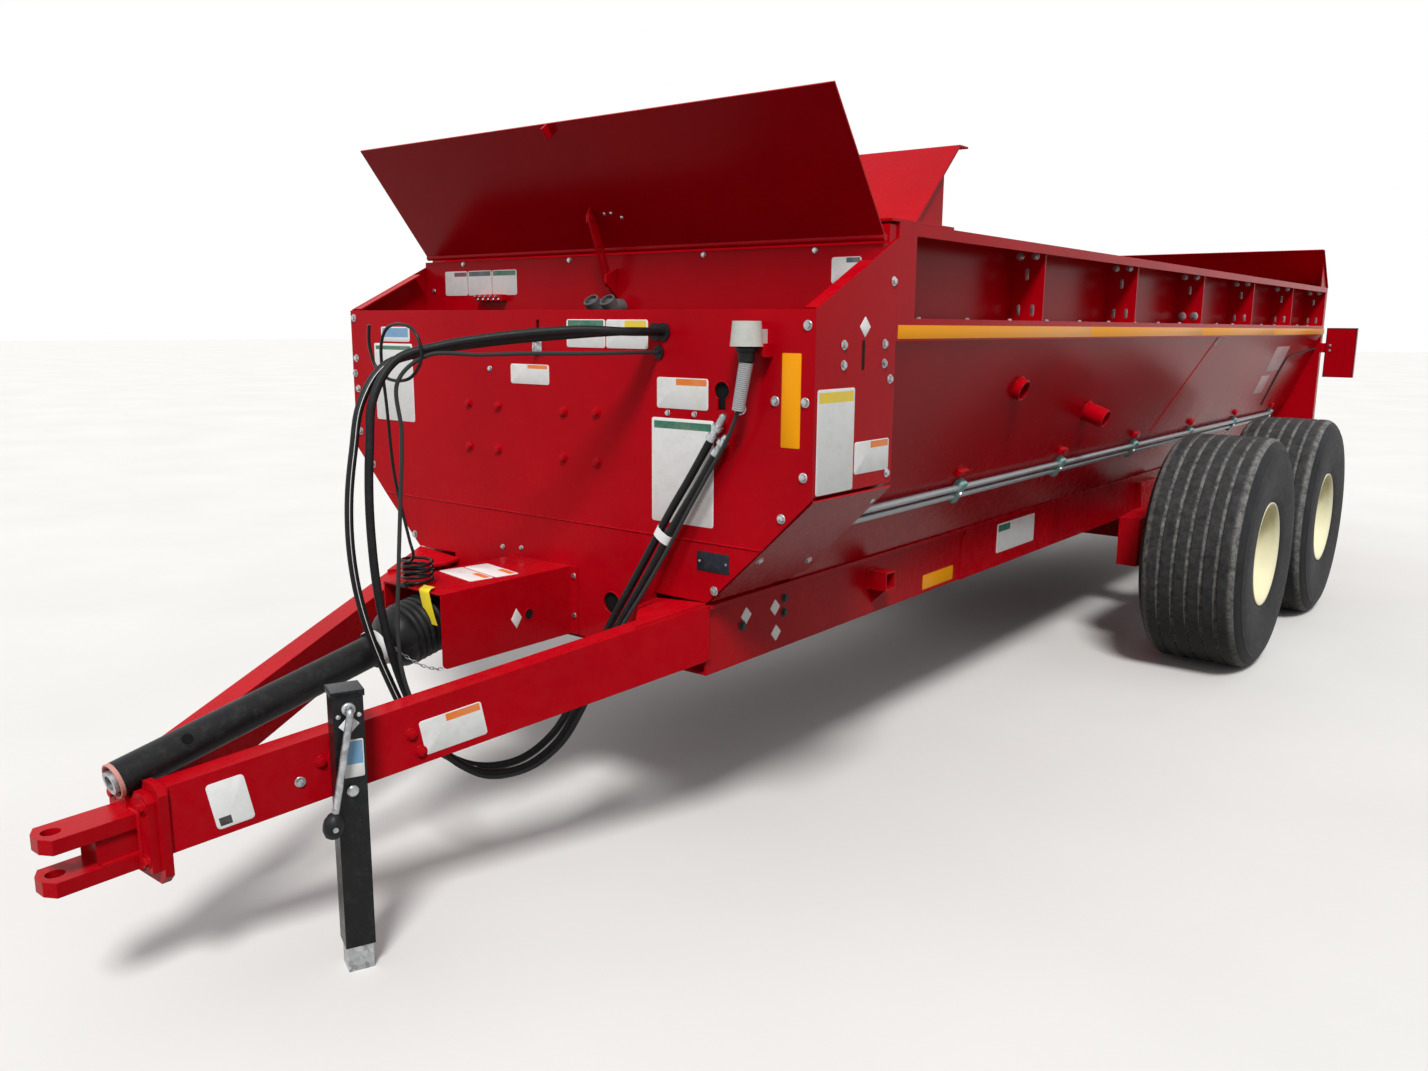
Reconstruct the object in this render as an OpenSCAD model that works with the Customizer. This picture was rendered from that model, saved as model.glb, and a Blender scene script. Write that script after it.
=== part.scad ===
// Trailed V-tank manure spreader with side discharge, tandem wheels and a drive
// compartment at the front. Millimetres. Forward is -Y, +X is the machine's left
// side, +Z is up, and the wheels stand on Z = 0. Machine stations along Y are
// counted from the front panel, and machine() moves them into the part's frame.

/* [Tank] */
// Half width over the side rails and side plates
half_w = 907; // [895:3:919]
// Rear face of the tank's rear wall, behind the front panel
tank_rear_y = 5992; // [5800:10:6200]
// Height of the top rails
tank_top_z = 1697; // [1670:5:1730]
// Height of the shelf under the side boards
shelf_z = 1458; // [1440:2:1470]
// Height where the V side starts below the outer rail face
v_top_z = 1400; // [1385:5:1410]
// Height of the crease in the V side
crease_z = 955; // [940:5:970]
// How far inside the half width the V side's crease lies
crease_inset = 176; // [170:2:184]
// How far inside the half width the side boards' inner face lies
board_inset = 133; // [127:1:139]
// Sheet thickness of folded panels
sheet = 5; // [4:1:6]

/* [Augers] */
// Distance of each auger from the middle of the tank
auger_x = 235; // [230:1:240]
// Height of the auger shafts
auger_z = 790; // [785:1:800]
// Outer radius of the auger flights
flight_r = 185; // [170:5:195]
// Radius of the auger tubes
auger_tube_r = 60; // [50:2:70]
// Pitch of the flights
flight_pitch = 380; // [350:10:420]
// Inner radius of the trough under each auger
trough_r = 215; // [210:1:218]

/* [Drive compartment] */
// Height of the front panel's top edge
panel_top_z = 1475; // [1465:5:1485]
// Height where the lower corners' chamfer starts
chamfer_z = 1030; // [1015:5:1040]
// Height of the seam between the upper and lower front sheets
seam_z = 889; // [880:1:895]
// Depth of the side plates
side_plate_y = 376; // [370:2:380]
// Height of the side plates' rear edge
side_plate_z = 1658; // [1650:2:1664]
// Front face of the tank's front wall
front_wall_y = 306; // [300:2:312]

/* [Front flap] */
// Height of the flap's hinge line
flap_hinge_z = 1655; // [1650:1:1660]
// Length of the flap
flap_len = 410; // [400:5:415]
// Travel of the flap to one side of the machine's middle
flap_shift = 17; // [14:1:18]
// Angle of the open flap, forward from level
flap_angle = 52; // [50:1:55]

/* [Frame] */
// Half width over the frame rails
rail_x = 592; // [586:2:598]
// Height of the top of the frame rails
rail_top_z = 722; // [715:1:726]
// Height of the frame rails' section
rail_h = 192; // [180:4:200]
// Width of the frame rails' flanges
rail_flange = 90; // [80:5:95]
// Wall of the frame rails
rail_wall = 8; // [6:1:10]
// Rear end of the frame rails
rail_end_y = 5900; // [5700:10:5930]

/* [Tongue and hitch] */
// Front end of the tongue beams, ahead of the front panel
tongue_front_y = 1185; // [1150:5:1220]
// Height of the tongue beams' top at the front end
tongue_tip_z = 484; // [475:1:495]
// Height of the tongue beams' section
beam_h = 150; // [140:2:160]
// Width of the tongue beams
beam_w = 64; // [60:1:68]
// Half spread of the beams' outer faces at the front end
beam_tip_x = 95; // [92:1:98]
// Hitch pin centre, ahead of the front panel
hitch_y = 1374; // [1366:1:1382]
// Height of the top of the upper hitch plate
hitch_top_z = 426; // [421:1:431]
// Thickness of each hitch plate
hitch_plate_t = 32; // [28:1:36]
// Gap between the hitch plates
hitch_gap = 59; // [55:1:65]
// Diameter of the hitch pin holes
hitch_pin_d = 38; // [32:1:42]
// Half width of the hitch plates
hitch_half_w = 46; // [43:1:49]

/* [Running gear] */
// Outer radius of the tyres
tyre_r = 494; // [488:1:500]
// Width of the tyres
tyre_w = 416; // [408:2:424]
// Radius of the rims at the bead
rim_r = 205; // [202:1:208]
// Distance of the tyre centres from the middle
wheel_x = 1124; // [1118:2:1130]
// Station of the front axle
axle_front_y = 2930; // [2910:5:2950]
// Distance between the tandem axles
axle_pitch = 1235; // [1225:5:1245]
// Radius of the spindles
spindle_r = 38; // [34:1:42]

/* [Jack] */
// Place of the jack along the tongue beam from the bend
jack_s = 923; // [900:1:940]
// Width of the jack's square tube
jack_w = 65; // [60:1:70]
// Height of the top of the jack
jack_top_z = 645; // [630:5:660]
// Height of the lower end of the jack's tube
jack_low_z = 60; // [50:2:70]
// Width of the sliding leg
leg_w = 56.4; // [54.4:0.2:56.4]

/* [Hidden] */

red = "#b00014";
cream = "#ede8c0";
black = "#1c1d1f";
steel = "#b9bdc0";
worn_red = "#9a1018";
eps = 0.01;
// Play left between pieces that are set against each other
seat = 0.3;

// The part's frame
nose_y = hitch_y + 32;
light_t = 38;
rear_end_y = tank_rear_y + light_t;
panel_y = (nose_y - rear_end_y) / 2;

// Tank stations and slopes
tank_front_y = side_plate_y;
rear_wall_t = 52;
rear_wall_y = tank_rear_y - rear_wall_t;
tank_len = rear_wall_y - tank_front_y;
wall_x = half_w - sheet;
crease_x = half_w - crease_inset;
board_x = half_w - board_inset;
inner_crease_x = crease_x - 109;
trough_wall = 6;
post_w = 94;
auger_stub_r = 33;
rail_low_z = rail_top_z - rail_h;
doubler_t = 6;
web_x = rail_x - doubler_t;
rail_in_x = web_x - rail_flange;

// Bracket stations of the side boards
bracket_pitch = 916;
bracket_first_y = 1360;
bracket_n = floor((rear_wall_y - bracket_first_y) / bracket_pitch) + 1;
bracket_t = 8;

// Tongue
tongue_run = rail_x - beam_tip_x;
tongue_yaw = atan2(tongue_run, tongue_front_y);
tongue_len = sqrt(tongue_run * tongue_run + tongue_front_y * tongue_front_y);
beam_fall = (rail_top_z - tongue_tip_z) / tongue_len;
function beam_top(s) = rail_top_z - beam_fall * s;

// Jack, beside the left beam
jack_out = 10;
jack_pivot_z = beam_top(jack_s) - beam_h / 2;
jack_mid = jack_out + jack_w / 2;

// Power shaft
pto_x = -12;
pto_joint_y = -400;
pto_joint_z = 668;
pto_front_y = -1244;
pto_front_z = 486;
pto_pitch = atan2(pto_joint_z - pto_front_z, pto_joint_y - pto_front_y);
pto_len = sqrt(pow(pto_joint_y - pto_front_y, 2) + pow(pto_joint_z - pto_front_z, 2));
guard_r = 40;
guard_room = 8;
pto_shaft_r = 26;

// Slanted lower side of the tank, as a unit vector up along it and one out of it
slant_run = crease_x - rail_x;
slant_rise = crease_z - rail_top_z;
slant_len = sqrt(slant_run * slant_run + slant_rise * slant_rise);
slant_up = [slant_run / slant_len, slant_rise / slant_len];
slant_out = [slant_up[1], -slant_up[0]];

// A point of the (X, Z) plane beside the slanted side: u up along it, v out of it
function slant(u, v) = [rail_x, rail_top_z] + u * slant_up + v * slant_out;

// Outer face of the V side at a height above its crease
function wall_out_x(z) = crease_x + (wall_x - crease_x) * (z - crease_z) / (v_top_z - crease_z);

// Discharge on the right side
gate_front_y = 470;
gate_rear_y = 1370;
gate_low_u = 32;
gate_top_u = 290;
gate_mid_y = (gate_front_y + gate_rear_y) / 2;
gate_out = 10;
gate_t = 6;
gate_travel = 200;
expeller_at = slant(155, 180);
expeller_r = 150;
expeller_shaft_r = 25;

// Running gear
axle_mid_y = axle_front_y + axle_pitch / 2;
beam_in_x = 715;
beam_t = 90;
pivot_z = 455;
pivot_r = 50;
axle_tube_w = 130;

// Stay between the flap and the front wall
stay_x = -10;
stay_pin_y = 208;
stay_pin_z = 1736;
stay_foot_y = 270;
stay_foot_z = 1572;

// Hoses and cable in front of the panel
hose_r = 10.5;
cable_r = 5;
hose_grommet_t = [4.8, 5.1];
cable_grommet_t = 5.3;
hose_hole_z = 1420;
hose_hole_x = [419, 445];
cable_hole = [430, 1368];
plug_at = [746, -50];
// Route of the left hose, from its grommet through the ring to its coupler
feed_route = [
  [419, -6, 1420], [402, -119, 1420], [333, -210, 1412], [256, -295, 1402],
  [180, -381, 1389], [106, -467, 1371], [43, -557, 1337], [40, -628, 1250],
  [45, -659, 1139], [46, -678, 1026], [46, -681, 911], [48, -669, 796],
  [55, -644, 684], [65, -609, 575], [83, -569, 468], [126, -519, 375],
  [187, -441, 319], [232, -336, 314], [253, -234, 360], [277, -169, 451],
  [306, -128, 554], [342, -93, 658], [390, -68, 759], [443, -50, 861],
  [498, -39, 961], [559, -30, 1058], [620, -25, 1156]
];
// Route of the right hose, beside the left one
return_route = [
  [445, -6, 1420], [431, -118, 1420], [365, -210, 1424], [290, -295, 1417],
  [216, -379, 1404], [142, -464, 1385], [77, -549, 1351], [65, -611, 1261],
  [70, -631, 1149], [70, -639, 1036], [71, -639, 923], [73, -632, 809],
  [79, -617, 697], [89, -594, 586], [108, -562, 479], [152, -524, 382],
  [217, -460, 317], [263, -359, 305], [282, -255, 342], [302, -185, 428],
  [330, -142, 529], [363, -105, 631], [410, -77, 731], [462, -57, 830],
  [516, -45, 929], [577, -35, 1024], [637, -27, 1120]
];
// Route of the lamp cable, from its grommet to its plug
cable_route = [
  [430, -6, 1368], [417, -122, 1368], [355, -222, 1366], [283, -316, 1366],
  [209, -408, 1363], [132, -497, 1362], [87, -557, 1297], [94, -556, 1180],
  [95, -565, 1062], [96, -576, 945], [99, -588, 827], [103, -599, 710],
  [111, -597, 592], [129, -569, 480], [176, -532, 379], [244, -465, 313],
  [290, -359, 308], [307, -251, 350], [329, -185, 443], [358, -146, 551],
  [399, -115, 657], [454, -89, 758], [509, -69, 860], [566, -58, 963],
  [627, -53, 1063], [691, -52, 1162], [724, -54, 1232], [736, -53, 1272]
];
module machine() {
  translate([0, panel_y, 0]) children();
}

// Extrudes an outline given as (Y, Z) along +X
module along_x(x0, len) {
  translate([x0, 0, 0]) rotate([90, 0, 90]) linear_extrude(len) children();
}

// Extrudes an outline given as (X, Z) along +Y
module along_y(y0, len) {
  translate([0, y0 + len, 0]) rotate([90, 0, 0]) linear_extrude(len) children();
}

module both_sides() {
  children();
  mirror([1, 0, 0]) children();
}

module bore_y(x, z, r, y0, len, fn = 48) {
  translate([x, y0 + len, z]) rotate([90, 0, 0]) cylinder(h = len, r = r, $fn = fn);
}

module bore_x(y, z, r, x0, len, fn = 48) {
  translate([x0, y, z]) rotate([0, 90, 0]) cylinder(h = len, r = r, $fn = fn);
}

// Coordinates along the left tongue beam: -Y runs forward from the bend,
// +X points out of its outer face
module on_beam() {
  translate([rail_x, 0, 0]) rotate([0, 0, -tongue_yaw]) children();
}

module frame_rails() {
  doubler_y = 1487;
  doubler_corner = 60;
  lip = 12;
  lip_out = 6;
  stub_y = 860;
  stub_z = 645;
  stub_w = 60;
  stub_len = 66;
  stub_wall = 6;
  gusset_t = 8;
  color(red) machine() both_sides() {
    along_y(6, rail_end_y - 6) polygon([
      [web_x, rail_low_z], [web_x, rail_top_z - lip], [rail_x + lip_out, rail_top_z - lip],
      [rail_x + lip_out, rail_top_z], [rail_in_x, rail_top_z],
      [rail_in_x, rail_top_z - rail_wall], [web_x - rail_wall, rail_top_z - rail_wall],
      [web_x - rail_wall, rail_low_z + rail_wall], [rail_in_x, rail_low_z + rail_wall],
      [rail_in_x, rail_low_z]
    ]);
    along_x(web_x - eps, doubler_t + eps) union() {
      polygon([
        [doubler_y, rail_low_z], [rail_end_y, rail_low_z], [rail_end_y, rail_top_z - lip],
        [doubler_y + doubler_corner, rail_top_z - lip], [doubler_y, rail_top_z - lip - doubler_corner]
      ]);
      intersection() {
        translate([doubler_y + doubler_corner, rail_top_z - lip - doubler_corner])
          circle(r = doubler_corner, $fn = 64);
        translate([doubler_y, rail_top_z - lip - doubler_corner]) square(doubler_corner);
      }
    }
    difference() {
      translate([web_x - eps, stub_y - stub_w / 2, stub_z - stub_w / 2]) cube([stub_len, stub_w, stub_w]);
      translate([web_x + 4, stub_y - stub_w / 2 + stub_wall, stub_z - stub_w / 2 + stub_wall])
        cube([stub_len, stub_w - 2 * stub_wall, stub_w - 2 * stub_wall]);
    }
    translate([0, stub_y - gusset_t / 2, 0]) along_y(0, gusset_t) polygon([
      [web_x - eps, stub_z - stub_w / 2 + eps], [web_x + stub_len - 10, stub_z - stub_w / 2 + eps],
      [web_x - eps, stub_z - stub_w / 2 - 52]
    ]);
  }
}

module cross_members() {
  inner = web_x - rail_wall;
  member_h = 28;
  member_w = 100;
  rows = [1460, 2240, 3000, 4020, 4900, 5780];
  color(red) machine() {
    for (y = rows)
      translate([-inner, y, rail_low_z + rail_wall]) cube([2 * inner, member_w, member_h]);
    along_x(-inner, 2 * inner) polygon([
      [40, rail_low_z + rail_wall], [40, rail_low_z + rail_wall + member_h],
      [300, rail_low_z + rail_wall + member_h], [300, rail_low_z + rail_wall]
    ]);
  }
}

// Space around the power shaft's guard, cut out of what it passes over
module guard_space() {
  on_pto() cylinder(h = pto_len + 60, r = guard_r + guard_room, $fn = 48);
}

module tongue_beams() {
  collar_r = 38;
  corner_t = 8;
  plate_half = 104;
  plate_t = 18;
  plate_low_z = 270;
  plate_high_z = 490;
  plate_corner = 20;
  over = 60;
  color(red) machine() {
    difference() {
      union() {
        both_sides() {
          intersection() {
            on_beam() along_x(-beam_w, beam_w) polygon([
              [over, beam_top(-over)], [-tongue_len - over, beam_top(tongue_len + over)],
              [-tongue_len - over, beam_top(tongue_len + over) - beam_h],
              [over, beam_top(-over) - beam_h]
            ]);
            translate([0, -tongue_front_y, 0])
              cube([rail_x + over, tongue_front_y + 6 - seat, rail_top_z + over]);
          }
          intersection() {
            on_beam() translate([0, 0, rail_top_z - 1]) rotate([atan(beam_fall), 0, 0])
              linear_extrude(corner_t + 1) polygon([
                [-3, 30], [-180, 30], [-180, -75], [-160, -121], [-3, -206]
              ]);
            translate([0, -tongue_front_y, 0])
              cube([rail_x + over, tongue_front_y - seat, rail_top_z + over]);
          }
        }
        along_y(-tongue_front_y - plate_t, plate_t + 1) polygon([
          [-plate_half, plate_low_z + plate_corner], [-plate_half + plate_corner, plate_low_z],
          [plate_half - plate_corner, plate_low_z], [plate_half, plate_low_z + plate_corner],
          [plate_half, plate_high_z - plate_corner], [plate_half - plate_corner, plate_high_z],
          [-plate_half + plate_corner, plate_high_z], [-plate_half, plate_high_z - plate_corner]
        ]);
      }
      guard_space();
    }
    on_beam() bore_x(-jack_s, jack_pivot_z, collar_r, -eps, jack_out - seat);
  }
}

module hitch_clevis() {
  flange_w = 88;
  flange_t = 18;
  flange_y = -tongue_front_y - flange_t - seat;
  flange_low = 300;
  flange_high = 470;
  tip_cut = 16;
  low_top = hitch_top_z - hitch_plate_t - hitch_gap;
  web_half = 38;
  web_y = -1312;
  web_r = 60;
  cradle_w = 44;
  cradle_t = 8;
  color(red) machine() difference() {
    union() {
      along_y(flange_y - flange_t, flange_t) polygon([
        [-flange_w, flange_low], [flange_w, flange_low], [flange_w, flange_high - 14],
        [flange_w - 14, flange_high], [-flange_w + 14, flange_high], [-flange_w, flange_high - 14]
      ]);
      for (z = [hitch_top_z - hitch_plate_t, low_top - hitch_plate_t])
        translate([0, 0, z]) linear_extrude(hitch_plate_t) polygon([
          [-hitch_half_w, flange_y], [hitch_half_w, flange_y],
          [hitch_half_w, -nose_y + tip_cut], [hitch_half_w - tip_cut - 12, -nose_y],
          [-hitch_half_w + tip_cut + 12, -nose_y], [-hitch_half_w, -nose_y + tip_cut]
        ]);
      difference() {
        translate([-web_half, web_y, low_top - eps])
          cube([2 * web_half, flange_y - web_y, hitch_gap + 2 * eps]);
        translate([0, web_y - web_r + 18, low_top - 1]) cylinder(h = hitch_gap + 2, r = web_r, $fn = 64);
      }
      translate([pto_x - cradle_w / 2, flange_y - flange_t - cradle_t, hitch_top_z - eps])
        cube([cradle_w, cradle_t + eps, 40]);
    }
    translate([0, -hitch_y, 0]) cylinder(h = hitch_top_z + 50, r = hitch_pin_d / 2, $fn = 48);
    difference() {
      guard_space();
      translate([-cradle_w, flange_y - flange_t - cradle_t - 1, hitch_top_z])
        cube([2 * cradle_w, cradle_t + 1, 100]);
    }
    on_pto() cylinder(h = pto_len + 60, r = guard_r + seat, $fn = 48);
  }
}

// Half width of the compartment at a height on its chamfer
function chamfer_half(z) =
  rail_x + (half_w - rail_x) * (z - rail_top_z) / (chamfer_z - rail_top_z);

module front_panel_upper() {
  panel_t = 6;
  flange = 40;
  seam_x = chamfer_half(seam_z);
  key_x = 635;
  key_z = 1277;
  key_r = 24;
  key_slot = 28;
  key_low_z = 1230;
  latch_x = -21;
  latch_w = 12;
  latch_low_z = 1392;
  latch_h = 56;
  color(red) machine() difference() {
    union() {
      along_y(0, panel_t) polygon([
        [-half_w, panel_top_z], [half_w, panel_top_z], [half_w, chamfer_z],
        [seam_x, seam_z], [-seam_x, seam_z], [-half_w, chamfer_z]
      ]);
      translate([-half_w + sheet, 0, panel_top_z - sheet])
        cube([2 * (half_w - sheet), flange, sheet]);
    }
    for (x = hose_hole_x) bore_y(x, hose_hole_z, grommet_neck_r(hose_r), -5, panel_t + 10);
    bore_y(cable_hole[0], cable_hole[1], grommet_neck_r(cable_r), -5, panel_t + 10);
    translate([key_x - key_slot / 2, -5, key_low_z]) cube([key_slot, panel_t + 10, key_z - key_low_z]);
    bore_y(key_x, key_z, key_r, -5, panel_t + 10);
    translate([latch_x - latch_w / 2, -5, latch_low_z]) cube([latch_w, panel_t + 10, latch_h]);
  }
}

module front_panel_lower() {
  panel_t = 6;
  seam_x = chamfer_half(seam_z - seat);
  apron_x = rail_in_x - 80;
  apron_low_z = 560;
  rail_gap_z = rail_top_z + 8.3;
  service_hole = [254, 676];
  color(red) machine() difference() {
    along_y(0, panel_t) polygon([
      [-seam_x, seam_z - seat], [seam_x, seam_z - seat], [rail_x, rail_gap_z],
      [apron_x, rail_gap_z], [apron_x, apron_low_z], [-apron_x, apron_low_z],
      [-apron_x, rail_gap_z], [-rail_x, rail_gap_z]
    ]);
    bore_y(service_hole[0], service_hole[1], 30, -5, panel_t + 10);
    bore_y(pto_x, pto_joint_z, 60, -5, panel_t + 10);
  }
}

module side_plates() {
  fold = 40;
  color(red) machine() both_sides() {
    along_x(half_w - sheet, sheet) polygon([
      [6.2, chamfer_z + 6], [side_plate_y, chamfer_z + 6], [side_plate_y, side_plate_z],
      [6.2, panel_top_z + 3]
    ]);
    slope = atan2(side_plate_z - panel_top_z, side_plate_y);
    translate([half_w - fold, 12, panel_top_z + 6.2]) rotate([slope, 0, 0])
      translate([0, 0, -sheet - 1]) cube([fold - sheet / 2, 270, sheet]);
  }
}

module lower_covers() {
  drop = chamfer_z - rail_top_z - 9;
  run = half_w - rail_x;
  slope = atan2(drop, run);
  len = sqrt(run * run + drop * drop);
  color(red) machine() both_sides()
    translate([half_w, 0, chamfer_z]) rotate([0, 180 - slope, 0]) mirror([0, 0, 1])
      translate([0, 0, -sheet]) linear_extrude(sheet) polygon([
        [4, 6.3], [len - 8, 6.3], [len - 8, side_plate_y - 1], [len - 30, side_plate_y - 1],
        [len - 30, 424], [4, side_plate_y]
      ]);
}

module front_wall() {
  wall_t = tank_front_y - front_wall_y - seat;
  half = wall_x - 0.2;
  low_half = rail_in_x - 1;
  low_z = 575;
  rail_gap_z = rail_top_z + 14;
  deck_z = tank_top_z - 7;
  bracket_y = stay_foot_y;
  bracket_z = stay_foot_z;
  tube_z = 1486;
  tube_r = 7;
  tube_reach = 40;
  color(red) machine() difference() {
    union() {
      along_y(front_wall_y, wall_t) polygon([
        [-half, flap_hinge_z - 14], [half, flap_hinge_z - 14], [half, chamfer_z + 12],
        [rail_x, rail_gap_z], [low_half, rail_gap_z], [low_half, low_z],
        [-low_half, low_z], [-low_half, rail_gap_z], [-rail_x, rail_gap_z],
        [-half, chamfer_z + 12]
      ]);
      along_y(front_wall_y + 30, wall_t - 30) polygon([
        [-half, flap_hinge_z - 20], [half, flap_hinge_z - 20], [half, deck_z], [-half, deck_z]
      ]);
      along_x(stay_x + 6.4, 8) polygon([
        [front_wall_y + eps, bracket_z + 30], [bracket_y - 16, bracket_z + 8],
        [bracket_y - 16, bracket_z - 16], [front_wall_y + eps, bracket_z - 60]
      ]);
      for (x = [-60, -42]) bore_y(x, tube_z, tube_r, front_wall_y - tube_reach, tube_reach + eps, 24);
    }
    for (sx = [-1, 1]) bore_y(sx * auger_x, auger_z, auger_stub_r + seat, front_wall_y - 20, wall_t + 60);
  }
}

function tank_wall_outline() = [
  [wall_x, shelf_z - sheet], [wall_x, v_top_z], [crease_x, crease_z], [rail_x, rail_top_z],
  [rail_in_x, rail_top_z], [auger_x + trough_r, auger_z],
  [inner_crease_x, crease_z], [board_x, shelf_z - sheet]
];

module tank_wall_left() {
  color(red) machine()
    along_y(tank_front_y, tank_len) polygon(tank_wall_outline());
}

module tank_wall_right() {
  margin = 40;
  color(red) machine() difference() {
    mirror([1, 0, 0]) along_y(tank_front_y, tank_len) polygon(tank_wall_outline());
    along_x(-wall_x - 20, wall_x - 300) polygon([
      [gate_front_y + margin, rail_top_z + 60], [gate_rear_y - margin, rail_top_z + 60],
      [gate_rear_y - margin, crease_z - 25], [gate_front_y + margin, crease_z - 25]
    ]);
  }
}

module trough() {
  color(red) machine() along_y(tank_front_y, tank_len) difference() {
    union() {
      intersection() {
        for (sx = [-1, 1]) translate([sx * auger_x, auger_z]) circle(r = trough_r + trough_wall, $fn = 96);
        translate([-600, 0]) square([1200, auger_z]);
      }
      polygon([[-90, 640], [90, 640], [14, auger_z + 40], [-14, auger_z + 40]]);
    }
    for (sx = [-1, 1]) translate([sx * auger_x, auger_z]) circle(r = trough_r, $fn = 96);
    for (sx = [-1, 1]) translate([sx * (auger_x + trough_r + 49), auger_z - 18])
      square([100, 200], center = true);
  }
}

module rear_wall() {
  half = wall_x;
  mid_half = rail_x + 48;
  low_half = rail_x - 112;
  side_low_z = 860;
  mid_low_z = 600;
  low_z = 555;
  color(red) machine() difference() {
    along_y(rear_wall_y, rear_wall_t) polygon([
      [-half, tank_top_z], [half, tank_top_z], [half, side_low_z], [mid_half, mid_low_z],
      [low_half, low_z], [-low_half, low_z], [-mid_half, mid_low_z], [-half, side_low_z]
    ]);
    for (sx = [-1, 1]) bore_y(sx * auger_x, auger_z, auger_stub_r + seat, rear_wall_y - 10, 40);
  }
}

// Cross-section of a side board: top flange with its lip, board, shelf and rail face
module side_board_section() {
  lip = 30;
  polygon([
    [board_x, shelf_z - sheet], [board_x, tank_top_z], [half_w, tank_top_z],
    [half_w, tank_top_z - lip], [half_w - sheet, tank_top_z - lip],
    [half_w - sheet, tank_top_z - sheet], [board_x + sheet, tank_top_z - sheet],
    [board_x + sheet, shelf_z], [half_w, shelf_z], [half_w, v_top_z],
    [half_w - sheet, v_top_z], [half_w - sheet, shelf_z - sheet]
  ]);
}

module side_board() {
  along_y(tank_front_y, tank_len) side_board_section();
  translate([half_w - 60, tank_front_y, shelf_z - eps])
    cube([60, post_w, tank_top_z - shelf_z - sheet + 2 * eps]);
  for (i = [0 : bracket_n - 1])
    translate([board_x + sheet - eps, bracket_first_y + i * bracket_pitch - bracket_t, shelf_z - eps])
      cube([half_w - board_x - sheet - 10, bracket_t, tank_top_z - shelf_z - sheet + 2 * eps]);
}

module side_board_left() {
  color(red) machine() side_board();
}

module side_board_right() {
  color(red) machine() mirror([1, 0, 0]) side_board();
}

// A splash lip that leans inward over the tank's end, drawn for the front end
module splash_lip(base_y) {
  lean = 235;
  rise = 224;
  flange = 50;
  z0 = tank_top_z;
  along_x(-half_w, 2 * half_w) polygon([
    [base_y, z0], [base_y + lean, z0 + rise], [base_y + lean + flange, z0 + rise],
    [base_y + lean + flange, z0 + rise - sheet], [base_y + lean + 4, z0 + rise - sheet],
    [base_y + 7, z0]
  ]);
  both_sides() along_x(half_w - 15, sheet) polygon([
    [base_y + 6, z0 + 2], [base_y + 170, z0 + 158], [base_y + 170, z0], [base_y + 6, z0]
  ]);
}

module front_lip() {
  deck_t = 7;
  color(red) machine() {
    splash_lip(455);
    translate([-half_w, front_wall_y + 32, tank_top_z]) cube([2 * half_w, 340, deck_t]);
  }
}

module rear_lip() {
  color(red) machine() translate([0, tank_rear_y - 15, 0]) mirror([0, 1, 0]) splash_lip(0);
}

module pto_hood() {
  x0 = -140;
  x1 = 98;
  top_z = 760;
  low_z = 562;
  reach = 462;
  t = 4;
  flange = 26;
  corner_r = 15;
  color(red) machine() {
    intersection() {
      along_y(-reach, reach - seat) polygon([
        [x0, low_z], [x0, top_z], [x1, top_z], [x1, low_z], [x1 - t, low_z],
        [x1 - t, top_z - t], [x0 + t, top_z - t], [x0 + t, low_z]
      ]);
      along_x(x0 - 1, x1 - x0 + 2) union() {
        translate([-reach, low_z + corner_r]) square([reach, top_z - low_z - corner_r]);
        translate([-reach + corner_r, low_z]) square([reach - corner_r, corner_r + 1]);
        translate([-reach + corner_r, low_z + corner_r]) circle(r = corner_r, $fn = 48);
      }
    }
    translate([x1 - eps, -t, low_z]) cube([flange, t - seat, top_z - low_z]);
    translate([x0 - flange, -t, low_z]) cube([flange + eps, t - seat, top_z - low_z]);
  }
}

module gearbox() {
  case_half = 110;
  case_y = 60;
  shaft_reach = 330;
  color("#3a3d40") machine() {
    translate([pto_x - case_half, case_y, pto_joint_z - 92])
      cube([2 * case_half, front_wall_y - case_y - seat, 210]);
    bore_y(pto_x, pto_joint_z, 24, -shaft_reach, shaft_reach + case_y + 1);
    bore_y(pto_x, pto_joint_z, 48, -shaft_reach - 10, 70);
  }
}

// Coordinates along the power shaft: +Z runs forward and down from its joint
module on_pto() {
  translate([pto_x, pto_joint_y, pto_joint_z]) rotate([90 + pto_pitch, 0, 0]) children();
}

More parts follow.
